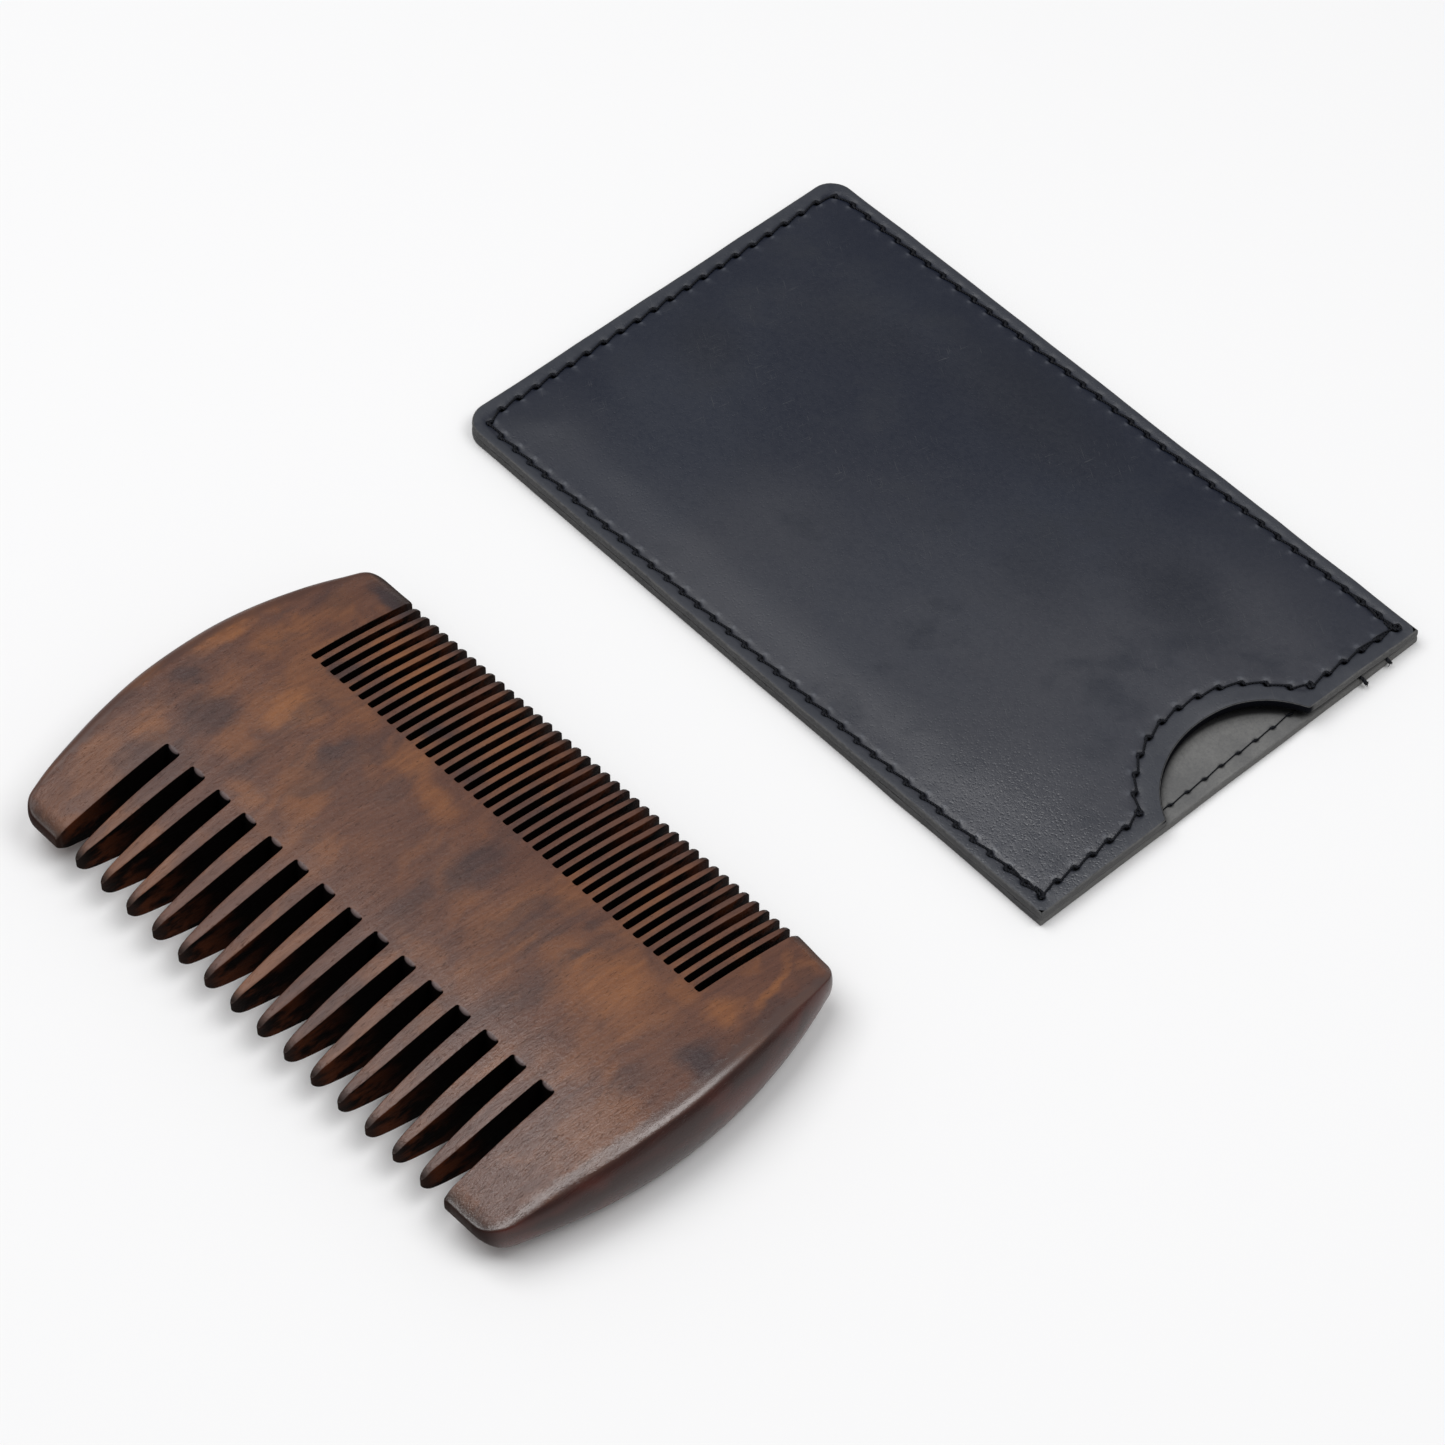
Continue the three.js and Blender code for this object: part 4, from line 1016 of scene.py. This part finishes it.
half_notch = math.acos((HALF_L - 1.0 - NOTCH_U) / NOTCH_R)
notch_arcs = [(arc(NOTCH_U, NOTCH_V, NOTCH_R + off, half_notch, 2 * math.pi - half_notch, 70), np.zeros((71, 2))) for off in (-0.3, 0.15, 0.6)]
back = panel("sleeve_back_visual", panel_ring(False, 41), [every(side_path(), 0.55), every(back_mouth_path(), 0.55), *notch_arcs],
             [SIDE_HOLES, BACK_HOLES], back_top, back_bottom, [BACKING, EDGE, LEATHER], 0.0)
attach(back, "sleeve"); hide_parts("sleeve_back_panel")


# ------------------------------------------------------------------------------------------------ seams
def stitches(hs, nrm, surface, radius, lift, dip, slant, sign=1.0, k0=0, k1=None, shift=0.0):
    """A run of lockstitches as one thread: it comes up at a hole, lies over the leather, and goes down at the next."""
    pts, rad = [], []
    k1 = len(hs) - 1 if k1 is None else k1
    t = np.array([0.0, 0.10, 0.22, 0.36, 0.50, 0.64, 0.78, 0.90])
    for k in range(k0, k1):
        a, b, na, nb = hs[k], hs[k + 1], nrm[k], nrm[k + 1]
        for s in t:
            c = a + (b - a) * s
            nn = na + (nb - na) * s
            over = math.sin(math.pi * s) ** 0.45
            off = slant * (2 * s - 1) + shift
            c = c + nn * off
            z = float(surface(np.array([c[0]]), np.array([c[1]]))[0]) if surface else 0.0
            pts.append([c[0], c[1], z, over]); rad.append(radius * (0.66 + 0.62 * math.exp(-(min(s, 1 - s) / 0.15) ** 2)))
    c = hs[k1]
    pts.append([c[0], c[1], float(surface(np.array([c[0]]), np.array([c[1]]))[0]) if surface else 0.0, 0.0]); rad.append(radius * 1.1)
    p = np.array(pts)
    p[:, 2] = p[:, 2] + sign * (lift * p[:, 3] - dip * (1 - p[:, 3]))
    return p[:, :3], np.array(rad)


def thread_piece(name, node, runs):
    parts, twist = [], []
    for p, r in runs:
        v, f = sweep(p, r, 8, 0.85)
        seg = np.concatenate([[0], np.cumsum(np.linalg.norm(np.diff(p, axis=0), axis=1))])
        a = np.tile(np.arange(8) / 8, len(p))
        twist.append(np.repeat(seg, 8) / 0.42 + a * 2)
        parts.append((v, f))
    verts, faces = join(parts)
    ob = make(name, to_row(verts), faces, [THREAD], attrs={"twist": np.concatenate(twist)})
    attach(ob, "sleeve"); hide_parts(node)
    return ob


def smooth_front(u, v):
    """Leather height beside the seam, without the needle pits."""
    pts = np.column_stack([np.ravel(u), np.ravel(v)])
    dip, _ = seam_dip(pts, [SIDE_LINE, FRONT_LINE], [np.array([[999.0, 999.0]])])
    return front_bottom(u, v) + HIDE - dip.reshape(np.shape(u))


def loose(points, radius=0.17):
    """An end of thread from listed points (u, v, height above the leather), joined by a smooth curve."""
    p = np.array(points, float)
    base = smooth_front(p[:, 0], p[:, 1])
    p[:, 2] += base
    t = np.arange(len(p)); tt = np.linspace(0, len(p) - 1, 6 * (len(p) - 1) + 1)
    q = np.column_stack([np.interp(tt, t, p[:, k]) for k in range(3)])
    for _ in range(3):
        q[1:-1] = (q[:-2] + 2 * q[1:-1] + q[2:]) / 4
    return q, np.full(len(q), radius)


nS, nF, nB = len(SIDE_HOLES) - 1, len(FRONT_HOLES) - 1, len(BACK_HOLES) - 1
C = SIDE_HOLES[0]
E = SIDE_HOLES[-1]
thread_piece("side_seam_front_visual", "side_seam_front_thread", [
    stitches(SIDE_HOLES, SIDE_N, smooth_front, 0.215, 0.12, 0.10, 0.27),
    stitches(SIDE_HOLES, SIDE_N, smooth_front, 0.19, 0.30, 0.20, -0.16, k0=0, k1=3, shift=0.20),
    stitches(SIDE_HOLES, SIDE_N, smooth_front, 0.19, 0.30, 0.20, -0.16, k0=nS - 2, k1=nS, shift=0.18),
    loose([(C[0] - 1.6, C[1] - 0.35, 0.10), (C[0] - 0.5, C[1] - 0.55, 0.22), (C[0] + 0.35, C[1] - 0.25, 0.30), (C[0] + 0.40, C[1] + 0.35, 0.30),
           (C[0] - 0.15, C[1] + 0.50, 0.25), (C[0] - 0.45, C[1] + 0.05, 0.20), (C[0] + 0.05, C[1] - 0.10, 0.05)]),
    loose([(E[0] - 1.4, E[1] + 0.40, 0.10), (E[0] - 0.3, E[1] + 0.50, 0.24), (E[0] + 0.35, E[1] + 0.10, 0.24), (E[0] + 0.1, E[1] - 0.3, 0.1)])])
FJ = [int(np.argmin(np.hypot(FRONT_HOLES[:, 0] - MOUTH_U, FRONT_HOLES[:, 1] - v))) for v in (13.6, -12.7)]
knots = [loose([(FRONT_HOLES[k][0] - 0.5, FRONT_HOLES[k][1] + 0.25, 0.05), (FRONT_HOLES[k][0], FRONT_HOLES[k][1] + 0.30, 0.22),
                (FRONT_HOLES[k][0] + 0.45, FRONT_HOLES[k][1] - 0.05, 0.20), (FRONT_HOLES[k][0] + 0.1, FRONT_HOLES[k][1] - 0.35, 0.15),
                (FRONT_HOLES[k][0] - 0.35, FRONT_HOLES[k][1] - 0.1, 0.05)], 0.20) for k in FJ]
thread_piece("front_mouth_outer_visual", "front_mouth_outer_thread", [
    stitches(FRONT_HOLES, FRONT_N, smooth_front, 0.20, 0.12, 0.10, 0.27),
    stitches(FRONT_HOLES, FRONT_N, smooth_front, 0.17, 0.26, 0.20, -0.12, k0=0, k1=2, shift=-0.17), *knots])

flat0 = lambda u, v: np.full(np.shape(u), 0.17)
thread_piece("side_seam_back_visual", "side_seam_back_thread", [stitches(SIDE_HOLES, SIDE_N, flat0, 0.17, 0.0, -0.14, 0.06)])
thread_piece("back_mouth_outer_visual", "back_mouth_outer_thread", [stitches(BACK_HOLES, BACK_N, flat0, 0.17, 0.0, -0.14, 0.06)])

under_front = lambda u, v: front_bottom(u, v)
thread_piece("front_mouth_inner_visual", "front_mouth_inner_thread", [
    stitches(FRONT_HOLES, FRONT_N, under_front, 0.06, 0.05, 0.05, 0.05, sign=-1.0)])

flat_back = lambda u, v: np.full(np.shape(u), BACK_TOP - 0.06)
tails = []
for v0, dv, reach, seed in ((25.4, 0.5, 50.75, 1), (21.6, -0.3, 51.05, 2)):
    t = np.linspace(0, 1, 14)
    rng = np.random.RandomState(seed)
    x = BACK_MOUTH_U + (reach - BACK_MOUTH_U) * t
    y = v0 + dv * t + 0.22 * np.sin(t * 5 + seed)
    z = BACK_TOP + 0.12 + 0.05 * np.sin(t * 3) - 0.55 * smooth(t, 0.72, 1.0)
    tails.append((np.column_stack([x, y, z]), np.interp(t, [0, 0.7, 0.92, 1], [0.15, 0.22, 0.27, 0.16])))
    # frayed plies at the cut end
    for _ in range(7):
        a, up_ = rng.uniform(-1.3, 1.3), rng.uniform(-0.5, 0.5)
        k = rng.uniform(0.35, 0.75)
        f = np.linspace(0, 1, 6)[:, None]
        tip_ = np.array([math.cos(a) * k * 0.7, math.sin(a) * k, up_ * k])
        start = np.array([x[-2], y[-2], z[-2]])
        tails.append((start + f * tip_ + 0.08 * np.sin(f * 4 + a), np.linspace(0.07, 0.03, 6)))
thread_piece("back_mouth_inner_visual", "back_mouth_inner_thread", [
    stitches(BACK_HOLES, BACK_N, flat_back, 0.125, 0.08, 0.07, 0.11), *tails])


# ------------------------------------------------------------------------------------------------ studio
def floor():
    g = Nodes("studio_floor")
    g.set(Base_Color=(0.90, 0.90, 0.905, 1), Roughness=0.9)
    g.bsdf.inputs["Specular IOR Level"].default_value = 0.1
    me = bpy.data.meshes.new("floor")
    s = 3.0
    me.from_pydata([(-s, -s, 0), (s, -s, 0), (s, s, 0), (-s, s, 0)], [], [(0, 1, 2, 3)])
    me.materials.append(g.mat)
    ob = bpy.data.objects.new("floor", me)
    bpy.context.scene.collection.objects.link(ob)


floor()

scene = bpy.context.scene
scene.view_settings.view_transform = "Standard"
scene.view_settings.look = "None"

world = bpy.data.worlds.new("studio")
scene.world = world
world.use_nodes = True
world.node_tree.nodes["Background"].inputs["Color"].default_value = (1.0, 1.0, 1.0, 1.0)
world.node_tree.nodes["Background"].inputs["Strength"].default_value = 0.33


def area(name, where, target, size, power, colour=(1, 1, 1)):
    d = bpy.data.lights.new(name, "AREA")
    d.shape = "RECTANGLE"
    d.size, d.size_y = size
    d.energy = power
    d.color = colour
    o = bpy.data.objects.new(name, d)
    o.location = where
    o.rotation_mode = "QUATERNION"
    o.rotation_quaternion = (Vector(target) - Vector(where)).to_track_quat("-Z", "Y")
    scene.collection.objects.link(o)
    return o


area("softbox_top", (-0.30, -0.12, 0.90), (0.0, 0.04, 0.0), (0.75, 0.75), 5.55)
area("softbox_right", (0.44, 0.28, 0.90), (0.0, 0.04, 0.0), (0.55, 0.55), 3.5)

# camera at the viewing angle: 46.7 degrees round from the coarse side and 51.5 degrees up
AZ, EL, DIST = math.radians(46.69), math.radians(51.472), 0.5743
target = Vector((0.00227, 0.04266, 0.0))
back_dir = Vector((math.sin(AZ) * math.cos(EL), -math.cos(AZ) * math.cos(EL), math.sin(EL)))
cam_data = bpy.data.cameras.new("camera")
cam_data.sensor_width = 36.0
cam_data.lens = 36.0 * 4959.2 / 1445.0
cam_data.clip_start, cam_data.clip_end = 0.01, 20.0
cam = bpy.data.objects.new("camera", cam_data)
scene.collection.objects.link(cam)
cam.location = target + back_dir * DIST
cam.rotation_mode = "QUATERNION"
cam.rotation_quaternion = (-back_dir).to_track_quat("-Z", "Y")
scene.camera = cam

bpy.context.view_layer.update()
